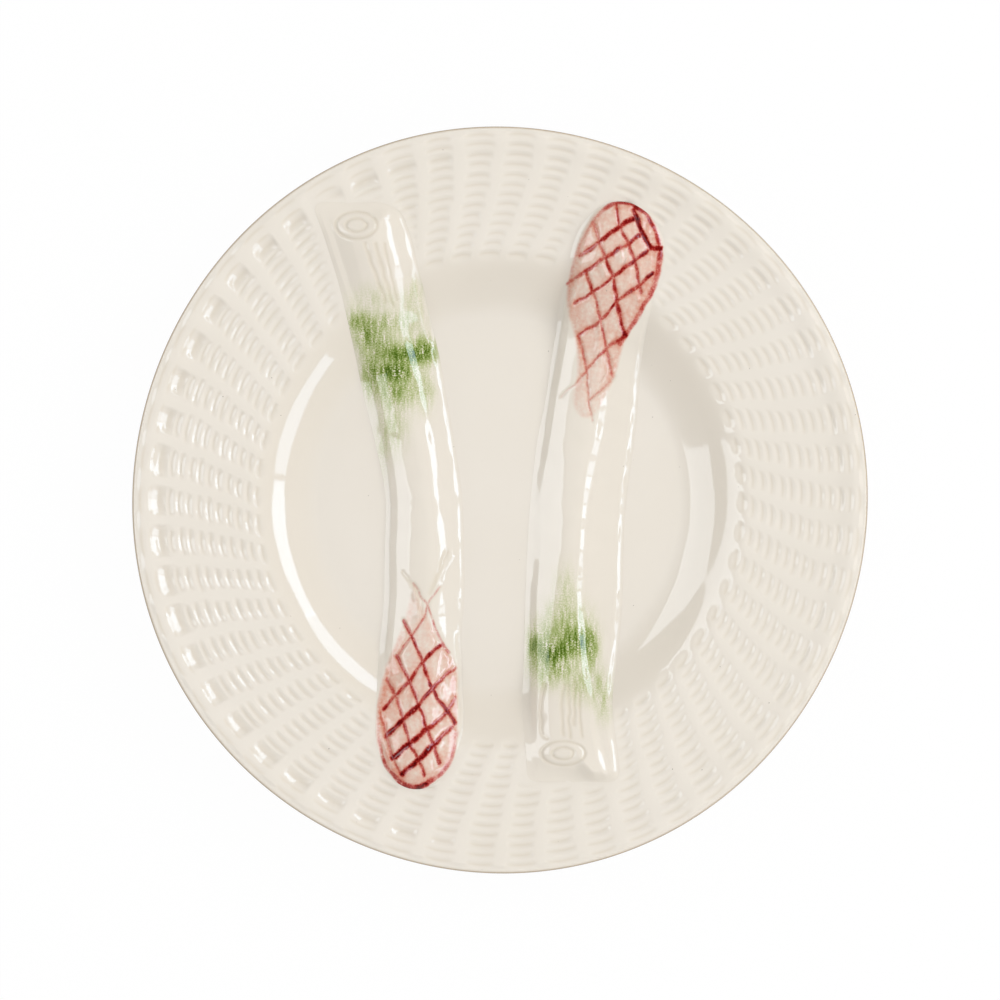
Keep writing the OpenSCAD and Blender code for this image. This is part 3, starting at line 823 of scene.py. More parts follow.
# %% [markdown]
# ## Relief of the spears
# Each spear is a sprig of clay pressed onto the plate, so it has no underside to speak of and its
# foot melts into the plate in a small hollow curve. Its section could be a half circle, but the
# long white lines in the photograph show something else: a broad crown, a shoulder on the right,
# a gentler flank and a steep foot. A highlight shows a slope and not a height, so the section is
# drawn by its slopes and summed up to heights.
#
# One slope on each side is left free, and is solved so that both sides come down to the plate. On
# the right it is capped, because a steeper flank would shine as a broad blot, and there the foot
# takes up the rest. In the bud the shoulder merges into one round side.

# %% From slopes to heights
STALK_H = 5.6 * MM
BUD_H = 6.2 * MM
SPEAR_Z = FLOOR_Z + STALK_H
PX_AT_SPEAR = MM_PER_PX * nearness(SPEAR_Z)
FLATTEST = 0.05
FLANK_STEEPEST = 0.48


def spear_x(px):
    """Place across the plate of a picture column, for clay at the height of a spear."""
    return (px - PICTURE_MIDDLE) * PX_AT_SPEAR


def summed(px, knots, slopes):
    """Drop in pixels that slopes between knots add up to at each place."""
    slope = np.interp(px, knots, slopes, left=0, right=0)
    return np.concatenate([[0], np.cumsum((slope[1:] + slope[:-1]) / 2 * (px[1] - px[0]))])


def side_drop(px, knots, slopes, height, spare=None):
    """Drop below the crown at each place; a slope of None is solved to reach the height.

    With spare knots, the solved slope is capped and the spare knots take up the rest.
    """
    fixed = summed(px, knots, [0.0 if v is None else v for v in slopes])
    free = summed(px, knots, [1.0 if v is None else 0.0 for v in slopes])
    solved = max((height / PX_AT_SPEAR - fixed[-1]) / free[-1], FLATTEST)
    if spare is not None and solved > FLANK_STEEPEST:
        fixed = summed(px, knots, [FLANK_STEEPEST if v is None else v for v in slopes])
        free = summed(px, knots, spare)
        solved = (height / PX_AT_SPEAR - fixed[-1]) / free[-1]
    drop = fixed + solved * free
    return drop / drop[-1] * height


print("one pixel is", round(PX_AT_SPEAR / MM, 4), "mm on a spear")

# %% The two sides of a spear
CURVE_POINTS = 200
FOOT_PX = 4
CROWN_SLOPE = 0.22
LEFT_SLOPE = 0.39
EDGE_SLOPE = 0.44
EDGE_ROUND_PX = 4
FLANK_PX = 4.0
FLANK_SOFT_PX = 2
DOME_PX = 10
SHOULDER_PX = 3.0
SHOULDER_ROOM = 5.5
BEFORE_SHOULDER = 0.06
AFTER_SHOULDER = 0.07
BEFORE_FOOT = 0.09
FOOT_NEAR = 0.8
FOOT_ROUND_PX = 2.5


def left_drop(left, flank, edge, crown, height):
    """Places out to the left of the crown, and how far the side has dropped there."""
    outward = np.linspace(-crown, -left, CURVE_POINTS)
    knots = -np.array([
        crown, edge + EDGE_ROUND_PX, edge, flank + FLANK_PX, flank + FLANK_PX - FLANK_SOFT_PX,
        flank - FLANK_PX + FLANK_SOFT_PX, flank - FLANK_PX, left + 1, left,
    ])
    slopes = [0, CROWN_SLOPE, LEFT_SLOPE, EDGE_SLOPE, None, None, EDGE_SLOPE, LEFT_SLOPE, 0]
    return outward, side_drop(outward, knots, slopes, height)


def right_drop(crown, shoulder, right, height, shoulder_slope, foot_slope):
    """Places out to the right of the crown, and how far the shouldered side has dropped there."""
    outward = np.linspace(crown, right + FOOT_PX, CURVE_POINTS)
    near = min(SHOULDER_PX, (right - shoulder) / SHOULDER_ROOM)
    knots = [
        crown, crown + DOME_PX, shoulder - 2 * near, shoulder - near, shoulder, shoulder + near,
        shoulder + 2 * near, right - 2 * near, right - FOOT_NEAR * near, right, right + FOOT_PX,
    ]
    slopes = [
        0, None, None, shoulder_slope - BEFORE_SHOULDER, shoulder_slope,
        shoulder_slope - AFTER_SHOULDER, None, None, foot_slope - BEFORE_FOOT, foot_slope, 0,
    ]
    spare = [0, 0, 0, 0, 0, 0, 0, 0, 1, 1, 0]
    return outward, side_drop(outward, knots, slopes, height, spare)


def round_drop(crown, right, height, foot_slope):
    """The same for a side without a shoulder."""
    outward = np.linspace(crown, right + FOOT_PX, CURVE_POINTS)
    knots = [crown, crown + DOME_PX, right - FOOT_ROUND_PX, right, right + FOOT_PX]
    return side_drop(outward, knots, [0, None, None, foot_slope, 0], height, [0, 0, 0, 1, 0])


def spear_section(places, px, top, grounds, shoulder_slope, foot_slope, closing):
    """Height of a spear at places across one picture row, from its top and the ground beside."""
    left, flank, edge, shoulder, right = places
    crown = (edge + shoulder) / 2
    outward, drop = left_drop(left, flank, edge, crown, top - grounds[0])
    to_left = top - np.interp(-px, outward, drop)
    height = top - grounds[1]
    outward, drop = right_drop(crown, shoulder, right, height, shoulder_slope, foot_slope)
    if closing > 0:
        drop = drop + closing * (round_drop(crown, right, height, foot_slope) - drop)
    to_right = top - np.interp(px, outward, drop)
    return np.where(px <= crown, to_left, to_right)


print("the flank's free slope stays between", FLATTEST, "and", FLANK_STEEPEST)

# %% [markdown]
# ## Slopes along a spear
# A real stalk is stiff, so it bridges the bend between well and rim instead of following it. Its
# top is therefore an evened-out copy of the plate's surface, a fixed height above it. Where the
# stalk climbs or leans, the slope along it adds to the slope across, and a shoulder of one fixed
# slope would lose its white line there. So the slope across is solved row by row, so that both
# together always come to the slope that mirrors the lamp. A slow wander keeps the line alive.

# %% Tops and slopes along a spear
SHOULDER_SLOPE = 0.64
SHOULDER_WANDER = 0.018
WANDER_PX = 55
STIFFNESS = 9.5 * MM
STIFF_REACH = 2
STIFF_SAMPLES = 17
BUTT_LOWER = 0.18
BUTT_RISES_PX = (30, 110)
BUTT_STEEPENS_PX = (45, 75)
BUTT_EASES_PX = (140, 200)
MERGE_PX = 16
LEAST_SQUARE = 0.04


def from_to(value, span):
    """Soft step from 0 at the start of a span to 1 at its end."""
    return smooth((value - span[0]) / (span[1] - span[0]))


def slope_across(wanted, along, turning):
    """Slope across the spear that makes a leaning line as steep as wanted, for a slope along."""
    square = 1 + turning**2
    root = np.clip((along * turning) ** 2 - square * (along**2 - wanted**2), LEAST_SQUARE, None)
    return (np.sqrt(root) - along * turning) / square


def stiff_ground(x, y):
    """Height of the plate, evened out along a spear that is too stiff to follow its bends."""
    offsets = np.linspace(-STIFF_REACH, STIFF_REACH, STIFF_SAMPLES)
    weights = np.exp(-(offsets**2) / 2)
    heights = [surface_z(radius_of(x, y + k * STIFFNESS)) for k in offsets]
    return np.tensordot(weights / weights.sum(), heights, 1)


def spear_course(spear, rows):
    """Top of the spear, slopes of its shoulder and foot, and how far it has closed, per row."""
    rows_y = row_to_y(rows, SPEAR_Z)
    grown = spear.grown_px(rows)
    _, _, edge, shoulder, right = [spear_x(place) for place in spear.places(rows)]
    in_bud = smooth(spear.past_px(rows, spear.join_px) / NOSE_PX + 0.5)
    heights = STALK_H + (BUD_H - STALK_H) * in_bud
    heights *= 1 - BUTT_LOWER * (1 - from_to(grown, BUTT_RISES_PX))
    tops = stiff_ground((edge + shoulder) / 2, rows_y) + heights
    along = np.gradient(tops, rows_y)
    wander = ripple(spear.cut_px * np.ones(len(rows)), rows, WANDER_PX, 5)
    near_butt = from_to(grown, BUTT_STEEPENS_PX) * (1 - from_to(grown, BUTT_EASES_PX))
    wanted = SHOULDER_SLOPE + SHOULDER_WANDER * wander + spear.butt_steeper * near_butt
    shoulder_slopes = slope_across(wanted, along, np.gradient(shoulder, rows_y))
    foot_slopes = slope_across(wanted, along, np.gradient(right, rows_y))
    closing = smooth(spear.past_px(rows, spear.merge_px) / MERGE_PX + 0.5)
    return tops, shoulder_slopes, foot_slopes, closing


for side, spear in SPEARS.items():
    tops, *_ = spear_course(spear, spear.table[:, 0])
    print("top of the", side, "spear is", np.round(tops[[0, -1]] / MM, 1), "mm high at its ends")

# %% [markdown]
# ## The body of a spear
# One sheet of points covers the whole spear. It could stay a straight grid with everything
# outside the outline cut away, but then the outline would be a staircase. Here every row of the
# grid is squeezed to the width of the spear, and the rows crowd towards the point.

# %% Points of the body
SPEAR_POINTS = 150
ROW_STEP_PX = 1.3
CUT_CORNER_PX = 10
NARROWEST_PX = 2.0


def sheet_rows(spear):
    """Picture rows of a spear in order of falling row, crowded towards its point."""
    length = abs(spear.point_px - spear.cut_px)
    grown = np.linspace(0, length - NOSE_PX, int((length - NOSE_PX) / ROW_STEP_PX))
    nose = np.sin(np.linspace(0, np.pi / 2, int(NOSE_PX / ROW_STEP_PX))[1:]) * NOSE_PX
    rows = spear.cut_px + spear.grows * np.concatenate([grown, length - NOSE_PX + nose])
    return np.sort(rows)[::-1]


def spear_body(spear, rows):
    """Picture column of every point, and how far the clay stands above the plate there."""
    px = np.zeros((len(rows), SPEAR_POINTS))
    body = np.zeros(px.shape)
    rows_y = row_to_y(rows, SPEAR_Z)
    course = zip(*spear_course(spear, rows))
    for i, (top, shoulder_slope, foot_slope, closing) in enumerate(course):
        places = spear.places(rows[i])
        left, right = places[0], places[-1] + FOOT_PX
        across = np.linspace(left, right, SPEAR_POINTS)
        ground = surface_z(radius_of(spear_x(across), rows_y[i]))
        height = spear_section(
            places, across, top, ground[[0, -1]], shoulder_slope, foot_slope, closing)
        body[i] = np.clip(height - ground, 0, None)
        corner = CUT_CORNER_PX * (1 - quarter_round(spear.grown_px(rows[i]) / CUT_CORNER_PX))
        middle = (left + right) / 2
        half = (right - left) / 2
        narrowed = max(half * spear.nose(rows[i]) - corner, NARROWEST_PX)
        px[i] = middle + (across - middle) * narrowed / half
    return px, body


print("rows of points:", {side: len(sheet_rows(spear)) for side, spear in SPEARS.items()})

# %% [markdown]
# ## Scales, flutes and rings
# The fine relief lies on top of the body. Scales swell between the grooves of the bud, and their
# lips rise gently and break off on the right, leaning just enough to mirror the lamp. The cut end
# is a slanted face with two oval rings, and flutes run a little way up from it. A bump map could
# fake all of this from above, but not from the side. The sheet lies a hair above the plate, and a
# narrow skirt along its sides dips under the glaze.

# %% Fine relief
GROOVE_DEPTH = 0.3 * MM
SCALE_SWELL = 0.2 * MM
SCALE_EDGE_PX = 8
FLUTE_DEPTH = 0.22 * MM
RING_DEPTH = 0.38 * MM
RING_PX = 1.5
INNER_RING_SHARE = 0.5
GLINT_SLOPE = 0.65
LIP_LEAN = (0.07, 0.9)
NOSE_POWER = 1.3
NOSE_LEAST = 0.02
SPEAR_WAVE = 11 * MM
SPEAR_WAVE_H = 0.06 * MM
CUT_FACE_PX = 32
RELIEF_H = 1.5 * MM
LIFT = 0.03 * MM


def ring_groove(px, row, ring):
    """Two oval rings pressed into the cut face."""
    x0, y0, rx, ry = ring
    off = np.hypot((px - x0) / rx, (row - y0) / ry)
    mean = (rx + ry) / 2
    outer = np.exp(-(((off - 1) * mean / RING_PX) ** 2))
    inner = np.exp(-(((off - INNER_RING_SHARE) * mean / RING_PX) ** 2))
    return np.maximum(outer, inner)


def hand_traces(hand, px, row):
    """What the hand left at each place: grooves, flutes, lips, rings, lines and wash."""
    groove, lines = stroke_field(px, row, hand["lattice"])
    _, outline = stroke_field(px, row, hand["edges"])
    flute, _ = stroke_field(px, row, hand["flutes"])
    return {
        "groove": groove,
        "flute": flute,
        "lip": lip_height(px, row, hand["lips"]),
        "ring": ring_groove(px, row, hand["ring"]),
        "inner": inside_px(px, row, hand["wash"]),
        "red": np.minimum(lines + outline, THICKEST_COLOUR),
    }


def cut_ramp(spear, px, row, ring):
    """Slant of the cut face: 0 at the cut end, 1 where the full stalk begins."""
    ring_x, _, ring_half, _ = ring
    beyond = smooth((px - ring_x - ring_half / 2) / ring_half)
    cut_px = CUT_FACE_PX + (spear.edge_px - CUT_FACE_PX) * beyond
    return smooth(spear.grown_px(row) / cut_px)


def spear_height(spear, px, row, x, y, body, ramp, traces):
    """Height of the sheet: the plate, the body of the spear on it and its fine relief."""
    nose = np.clip(spear.nose(row), NOSE_LEAST, 1)
    on_top = smooth(body / RELIEF_H)
    body = body * ramp * nose**NOSE_POWER
    ground = surface_z(radius_of(x, y)) + glaze_waves(x, y)
    lean = np.gradient(ground + body, axis=1) / np.gradient(x, axis=1)
    lips = np.clip(GLINT_SLOPE + lean, *LIP_LEAN) * PX_AT_SPEAR * traces["lip"]
    swelling = smooth(traces["inner"] / SCALE_EDGE_PX) * (1 - traces["groove"])
    scales = SCALE_SWELL * swelling * smooth(nose * 2)
    grooves = GROOVE_DEPTH * traces["groove"] * smooth(nose * 2.5)
    cuts = grooves + FLUTE_DEPTH * traces["flute"] + RING_DEPTH * traces["ring"]
    waves = SPEAR_WAVE_H * ripple(x, y, SPEAR_WAVE, 21)
    return ground + LIFT + body + (scales + lips - cuts + waves) * on_top


print("rings are", round(RING_DEPTH / MM, 2), "mm deep, grooves", round(GROOVE_DEPTH / MM, 2), "mm")

# %% [markdown]
# ## Paint on the spears
# The colour could be drawn into an image and unwrapped onto the spear. The points stand closer
# together than the brush marks are wide, though, so each point can carry how thick the red, pink
# and green lie there. The pink lies deepest in the grooves and at the edge of the wash, and the
# glaze pools wherever the clay is hollow.

# %% The spear's sheet and its masks
SKIRT_DIP = 0.5 * MM
SKIRT_PX = 0.6
WASH_SOFT_PX = 5
PINK_ALL_OVER = 0.42
PINK_AT_EDGE = 0.35
PINK_EDGE_PX = 9
PINK_IN_GROOVE = 0.5
PINK_FROM_JOIN_PX = 90
PINK_BEFORE_JOIN = 0.3
PINK_TO_ONE_SIDE = 0.2
SPEAR_POOL = 0.12
FLUTE_POOL = 0.35
GROOVE_POOL = 0.2


def paint_masks(spear, px, row, traces, dabs):
    """Thickness of each colour at every point, and how much glaze has pooled there."""
    inner = traces["inner"]
    groove = traces["groove"]
    at_edge = PINK_AT_EDGE * np.exp(-((inner / PINK_EDGE_PX) ** 2))
    wash = smooth(inner / WASH_SOFT_PX + 0.4)
    wash *= PINK_ALL_OVER + at_edge + PINK_IN_GROOVE * groove**0.6
    in_bud = smooth(spear.past_px(row, spear.join_px) / PINK_FROM_JOIN_PX + 0.4)
    across = np.linspace(-1, 1, SPEAR_POINTS)
    wash *= PINK_BEFORE_JOIN + (1 - PINK_BEFORE_JOIN) * in_bud
    hollow = FLUTE_POOL * (traces["flute"] + traces["ring"]) + GROOVE_POOL * groove
    return {
        "red": traces["red"],
        "pink": wash * (1 - PINK_TO_ONE_SIDE * spear.grows * across),
        "pool_and_shade": SPEAR_POOL + hollow,
        "green": green_thickness(px, row, dabs),
    }


def spear_sheet(spear, hand):
    """Points, normals, masks and picture places of a whole spear, in rows of rising y."""
    rows = sheet_rows(spear)
    px, body = spear_body(spear, rows)
    row = np.repeat(rows[:, None], SPEAR_POINTS, axis=1)
    x = spear_x(px)
    y = row_to_y(row, SPEAR_Z)
    traces = hand_traces(hand, px, row)
    ramp = cut_ramp(spear, px, row, hand["ring"])
    z = spear_height(spear, px, row, x, y, body, ramp, traces)
    points = np.stack([x, y, z], axis=-1)
    normals = np.cross(np.gradient(points, axis=1), np.gradient(points, axis=0))
    normals /= np.linalg.norm(normals, axis=-1, keepdims=True) + 1e-12
    points[:, 0] -= [SKIRT_PX * MM_PER_PX, 0, SKIRT_DIP]
    points[:, -1] += [SKIRT_PX * MM_PER_PX, 0, -SKIRT_DIP]
    masks = paint_masks(spear, px, row, traces, hand["dabs"])
    return points, normals, masks, np.stack([px, row], axis=-1) / PICTURE_SIZE


sheets = {side: spear_sheet(SPEARS[side], HANDWORK[side]) for side in SPEARS}
print("spear sheets", {side: sheet[0].shape for side, sheet in sheets.items()})

# %% [markdown]
# ## Stalks and buds
# Each spear is two pieces here, a smooth stalk and a scaly bud, because the two are glazed in
# different colours. Modelled apart they would show a seam in the light, so the finished sheet is
# split at one row instead, and each part is closed underneath. Both keep the normals of the whole
# sheet, so the shading runs on across the join.

# %% Split the sheets into pieces


def spear_piece(name, side, first, last):
    """One closed piece from a run of rows of a spear's sheet."""
    points, normals, masks, places = sheets[side]
    points = points[first:last]
    rows, columns = points.shape[:2]
    start = np.arange(rows - 1) * columns
    base = np.stack(
        [start, start + columns, start + 2 * columns - 1, start + columns - 1], axis=1)
    ends = [np.arange(columns)[::-1], (rows - 1) * columns + np.arange(columns)]
    piece = build_mesh(
        name, points.reshape(-1, 3), sheet_quads(rows, columns), list(base) + ends,
        {key: mask[first:last] for key, mask in masks.items()}, places[first:last].reshape(-1, 2),
    )
    piece.data.normals_split_custom_set_from_vertices(normals[first:last].reshape(-1, 3).tolist())
    print(piece.name, "has", len(piece.data.vertices), "points")
    return piece


def split_row(side):
    """Row of a sheet at which the stalk ends and the bud begins."""
    rows = sheets[side][3][:, 0, 1] * PICTURE_SIZE
    return int(np.argmin(np.abs(rows - SPEARS[side].join_px)))


left_split = split_row("left")
right_split = split_row("right")
left_tip = spear_piece("left_spear_bud", "left", 0, left_split + 1)
left_stalk = spear_piece("left_spear_stem", "left", left_split, None)
right_stalk = spear_piece("right_spear_stem", "right", 0, right_split + 1)
right_tip = spear_piece("right_spear_bud", "right", right_split, None)

# %% [markdown]
# ## Shared effects of the glaze
# Three effects turn up in more than one finish, so each is a node group with its own named
# inputs. Pinholes are the tiny dark specks where gas escaped in the kiln. Flow is the slow change
# of tone where glaze ran thick or thin. Ripple is the fine orange-peel of a dipped glaze, used as
# a height for a bump. Groups hand out only values and colours; the shader itself stays in each
# material.

# %% Node group helpers


def new_group(name, inputs, outputs):
    """Node group with named inputs of a kind and value, and named outputs of a kind."""
    group = bpy.data.node_groups.new(name, "ShaderNodeTree")
    for key, (kind, value) in inputs.items():
        socket = group.interface.new_socket(key, in_out="INPUT", socket_type=kind)
        if value is not None:
            socket.default_value = value
    for key, kind in outputs.items():
        group.interface.new_socket(key, in_out="OUTPUT", socket_type=kind)
    return group, group.nodes.new("NodeGroupInput"), group.nodes.new("NodeGroupOutput")


def fill(tree, socket, value):
    """Links a socket to another one, or gives it a plain value."""
    if isinstance(value, bpy.types.NodeSocket):
        tree.links.new(value, socket)
    else:
        socket.default_value = value


def add(tree, kind, inputs=None, **settings):
    """Adds a node, sets its properties and links or fills its inputs."""
    node = tree.nodes.new(kind)
    for key, value in settings.items():
        setattr(node, key, value)
    for key, value in (inputs or {}).items():
        fill(tree, node.inputs[key], value)
    return node


def math(tree, operation, a, b=0.0, c=0.0):
    """One math node; returns its output."""
    return add(tree, "ShaderNodeMath", {0: a, 1: b, 2: c}, operation=operation).outputs[0]


def blend(tree, share, a, b):
    """Mix of two colours; returns its output. A mix node numbers its colour sockets 6 and 7."""
    inputs = {0: share, 6: a, 7: b}
    return add(tree, "ShaderNodeMix", inputs, data_type="RGBA", clamp_factor=True).outputs[2]


print("helpers for node groups are ready")

# %% Pinholes
FLOAT = "NodeSocketFloat"
COLOR = "NodeSocketColor"
VECTOR = "NodeSocketVector"

pinholes, group_in, group_out = new_group(
    "glaze_pinholes",
    {
        "Place": (VECTOR, None), "Spacing": (FLOAT, 400.0), "Size": (FLOAT, 0.05),
        "Share": (FLOAT, 0.3),
    },
    {"Mask": FLOAT},
)
cells = add(pinholes, "ShaderNodeTexVoronoi",
            {"Vector": group_in.outputs["Place"], "Scale": group_in.outputs["Spacing"]})
hole = math(pinholes, "LESS_THAN", cells.outputs["Distance"], group_in.outputs["Size"])
chance = add(pinholes, "ShaderNodeSeparateColor", {"Color": cells.outputs["Color"]})
kept = math(pinholes, "LESS_THAN", chance.outputs[0], group_in.outputs["Share"])
strength = math(pinholes, "MULTIPLY", math(pinholes, "MULTIPLY", hole, kept), chance.outputs[1])
pinholes.links.new(strength, group_out.inputs["Mask"])
print("group", pinholes.name)

# %% Flow of the glaze
flow, group_in, group_out = new_group(
    "glaze_flow",
    {"Place": (VECTOR, None), "Scale": (FLOAT, 30.0), "Depth": (FLOAT, 0.5)},
    {"Tone": FLOAT},
)
slow = add(flow, "ShaderNodeTexNoise",
           {"Vector": group_in.outputs["Place"], "Scale": group_in.outputs["Scale"], "Detail": 3.0})
centred = math(flow, "SUBTRACT", slow.outputs[0], 0.5)
scaled = math(flow, "MULTIPLY", centred, group_in.outputs["Depth"])
flow.links.new(math(flow, "ADD", scaled, 0.5), group_out.inputs["Tone"])
print("group", flow.name)

# %% Ripple of the glaze
ripples, group_in, group_out = new_group(
    "glaze_ripple",
    {"Place": (VECTOR, None), "Scale": (FLOAT, 140.0), "Fine": (FLOAT, 0.25)},
    {"Height": FLOAT},
)
broad_scale = group_in.outputs["Scale"]
broad = add(ripples, "ShaderNodeTexNoise",
            {"Vector": group_in.outputs["Place"], "Scale": broad_scale, "Detail": 1.0})
fine_scale = math(ripples, "MULTIPLY", broad_scale, 6.0)
fine = add(ripples, "ShaderNodeTexNoise",
           {"Vector": group_in.outputs["Place"], "Scale": fine_scale, "Detail": 1.0})
fine_part = math(ripples, "MULTIPLY", fine.outputs[0], group_in.outputs["Fine"])
ripples.links.new(math(ripples, "ADD", broad.outputs[0], fine_part), group_out.inputs["Height"])
print("group", ripples.name)

# %% [markdown]
# ### Stain
# Coloured glaze is a stained glass on top of the cream: the thicker it lies, the deeper and
# purer its colour gets. Mixing cream with a flat green or red would give chalky midtones, so the
# stain group darkens each channel by its own power of the thickness, as light through glass is.

# %% Stain
stain, group_in, group_out = new_group(
    "glaze_stain",
    {"Colour": (COLOR, (0.8, 0.8, 0.8, 1)), "Glass": (COLOR, (0.5, 0.5, 0.5, 1)),
     "Thickness": (FLOAT, 0.0)},
    {"Colour": COLOR},
)
under = add(stain, "ShaderNodeSeparateColor", {"Color": group_in.outputs["Colour"]})
glass = add(stain, "ShaderNodeSeparateColor", {"Color": group_in.outputs["Glass"]})
stained = add(stain, "ShaderNodeCombineColor")
for channel in range(3):
    passed = math(stain, "POWER", glass.outputs[channel], group_in.outputs["Thickness"])
    seen = math(stain, "MULTIPLY", passed, under.outputs[channel])
    stain.links.new(seen, stained.inputs[channel])
stain.links.new(stained.outputs[0], group_out.inputs["Colour"])
print("group", stain.name)

# %% [markdown]
# ### Bristle marks
# Bristle marks are the last shared effect. Brushed colour is streaky along the stroke and grainy
# where the brush ran dry. Noise stretched along the spear gives the streaks, fine noise gives the
# grain, and both thin or thicken the colour that the mesh carries.

# %% Bristle marks
bristles, group_in, group_out = new_group(
    "bristle_marks",
    {
        "Place": (VECTOR, None), "Thickness": (FLOAT, 0.0), "Across": (FLOAT, 260.0),
        "Along": (FLOAT, 22.0), "Streaks": (FLOAT, 0.6), "Grain": (FLOAT, 0.35),
    },
    {"Thickness": FLOAT},
)
parts = add(bristles, "ShaderNodeSeparateXYZ", {0: group_in.outputs["Place"]})
stretched = add(bristles, "ShaderNodeCombineXYZ", {
    0: math(bristles, "MULTIPLY", parts.outputs[0], group_in.outputs["Across"]),
    1: math(bristles, "MULTIPLY", parts.outputs[1], group_in.outputs["Along"]),
})
streak = add(bristles, "ShaderNodeTexNoise",
             {"Vector": stretched.outputs[0], "Scale": 1.0, "Detail": 3.0})
grain = add(bristles, "ShaderNodeTexNoise", {
    "Vector": group_in.outputs["Place"], "Detail": 2.0,
    "Scale": math(bristles, "MULTIPLY", group_in.outputs["Across"], 2.2),
})
streak_part = math(bristles, "MULTIPLY", math(bristles, "SUBTRACT", streak.outputs[0], 0.5),
                   group_in.outputs["Streaks"])
grain_part = math(bristles, "MULTIPLY", math(bristles, "SUBTRACT", grain.outputs[0], 0.5),
                  group_in.outputs["Grain"])
uneven = math(bristles, "MULTIPLY", math(bristles, "ADD", streak_part, grain_part), 4.0)
factor = math(bristles, "MAXIMUM", math(bristles, "ADD", uneven, 1.0), 0.0)
bristles.links.new(math(bristles, "MULTIPLY", factor, group_in.outputs["Thickness"]),
                   group_out.inputs["Thickness"])
print("group", bristles.name)

# %% [markdown]
# ## The cream glaze
# The ground of the whole plate is a warm off-white glaze. It is glossy but lies over clay, so the
# colour is matt underneath and the shine sits on top. It pools a shade darker in the creases of
# the weave, turns brown at the very edge and is peppered with pinholes. The middle of the well's
# wall carries a painted shade in the same darker tone.

# %% Helpers for materials


def new_material(name):
    """Node material with a plain shader; returns the material, its tree and the shader."""
    material = bpy.data.materials.new(name)
    material.use_nodes = True
    return material, material.node_tree, material.node_tree.nodes["Principled BSDF"]


def group_node(tree, group, **inputs):
    """Places a node group with its own values."""
    return add(tree, "ShaderNodeGroup", node_tree=group, inputs=inputs)


def bump_of(tree, height, distance):
    """Normal of a surface whose height changes by a distance."""
    bump = add(tree, "ShaderNodeBump", {"Height": height, "Strength": 1.0, "Distance": distance})
    return bump.outputs["Normal"]


def mask_of(tree, name):
    """Value that the mesh carries under a name."""
    return add(tree, "ShaderNodeAttribute", attribute_name=name).outputs["Fac"]


print("helpers for materials are ready")

# %% Cream glaze
CREAM = (0.820, 0.768, 0.692, 1)
CREAM_WARM = (0.800, 0.745, 0.660, 1)
# Tone of glaze pooled in hollows, also used for the painted shade on the well's wall.
POOL_AND_SHADE_GLASS = (0.80, 0.75, 0.66, 1)
# Brown that the colour turns at the very edge of the plate.
EDGE_BROWN = (0.40, 0.32, 0.23, 1)
SPECK = (0.30, 0.26, 0.21, 1)
GLAZE_ROUGHNESS = 0.05
GLAZE_IOR = 1.52
RIPPLE_HEIGHT = 0.01 * MM


def glaze_ground(tree, place):
    """Cream colour with its slow change of tone, pooled darker in hollows and darkened by painted
    shade where the mask holds it.
    """
    tone = group_node(tree, flow, Place=place, Scale=28.0, Depth=1.3).outputs["Tone"]
    ground = blend(tree, tone, CREAM, CREAM_WARM)
    pool_and_shade = mask_of(tree, "pool_and_shade")
    pooled = group_node(tree, stain, Colour=ground, Glass=POOL_AND_SHADE_GLASS, Thickness=pool_and_shade)
    return pooled.outputs["Colour"]


def finish_glaze(tree, shader, place, colour):
    """Pinholes, ripple and gloss, which every glazed surface shares."""
    holes = group_node(tree, pinholes, Place=place, Spacing=300.0, Size=0.055, Share=0.14)
    speckled = blend(tree, holes.outputs["Mask"], colour, SPECK)
    tree.links.new(speckled, shader.inputs["Base Color"])
    height = group_node(tree, ripples, Place=place, Scale=150.0, Fine=0.2).outputs["Height"]
    tree.links.new(bump_of(tree, height, RIPPLE_HEIGHT), shader.inputs["Normal"])
    shader.inputs["Roughness"].default_value = GLAZE_ROUGHNESS
    shader.inputs["IOR"].default_value = GLAZE_IOR


cream, tree, shader = new_material("cream_glaze")
place = add(tree, "ShaderNodeTexCoord").outputs["Object"]
browned = group_node(tree, stain, Colour=glaze_ground(tree, place), Glass=EDGE_BROWN,
                     Thickness=mask_of(tree, "brown_edge"))
finish_glaze(tree, shader, place, browned.outputs["Colour"])
print("material", cream.name)

# %% [markdown]
# ## Green and red
# The stalks' green is copper glaze dabbed on with a half-dry brush. The buds were washed with
# pink, and their scales were drawn with a loaded brush of iron red. Painted colours could hide
# the cream, but real glazes lie over it like coloured glass, so each layer stains what is below.
# Stalk and bud are two materials, but one function makes both, because the brush crossed the
# line between them.

# %% Brushed glazes
GREEN_GLASS = (0.131, 0.234, 0.031, 1)
PINK_GLASS = (0.87, 0.50, 0.43, 1)
RED_GLASS = (0.25, 0.004, 0.004, 1)


def brushed_glaze(name):
    """Cream glaze with green and red stain brushed over it."""
    material, tree, shader = new_material(name)
    place = add(tree, "ShaderNodeTexCoord").outputs["Object"]
    brush = add(tree, "ShaderNodeUVMap", uv_map="clay_uv").outputs["UV"]
    colour = glaze_ground(tree, place)
    green = group_node(tree, bristles, Place=brush, Thickness=mask_of(tree, "green"),
                       Across=300.0, Along=55.0, Streaks=1.0, Grain=0.9)
    red = group_node(tree, bristles, Place=brush, Thickness=mask_of(tree, "red"),
                     Across=240.0, Along=160.0, Streaks=0.6, Grain=0.5)
    pink = group_node(tree, bristles, Place=brush, Thickness=mask_of(tree, "pink"),
                      Across=120.0, Along=60.0, Streaks=0.5, Grain=0.5)
    for glass, layer in ((GREEN_GLASS, green), (PINK_GLASS, pink), (RED_GLASS, red)):
        colour = group_node(tree, stain, Colour=colour, Glass=glass,
                            Thickness=layer.outputs["Thickness"]).outputs["Colour"]
    finish_glaze(tree, shader, place, colour)
    print("material", material.name)
    return material


stalk_glaze = brushed_glaze("stalk_glaze")
bud_glaze = brushed_glaze("tip_glaze")

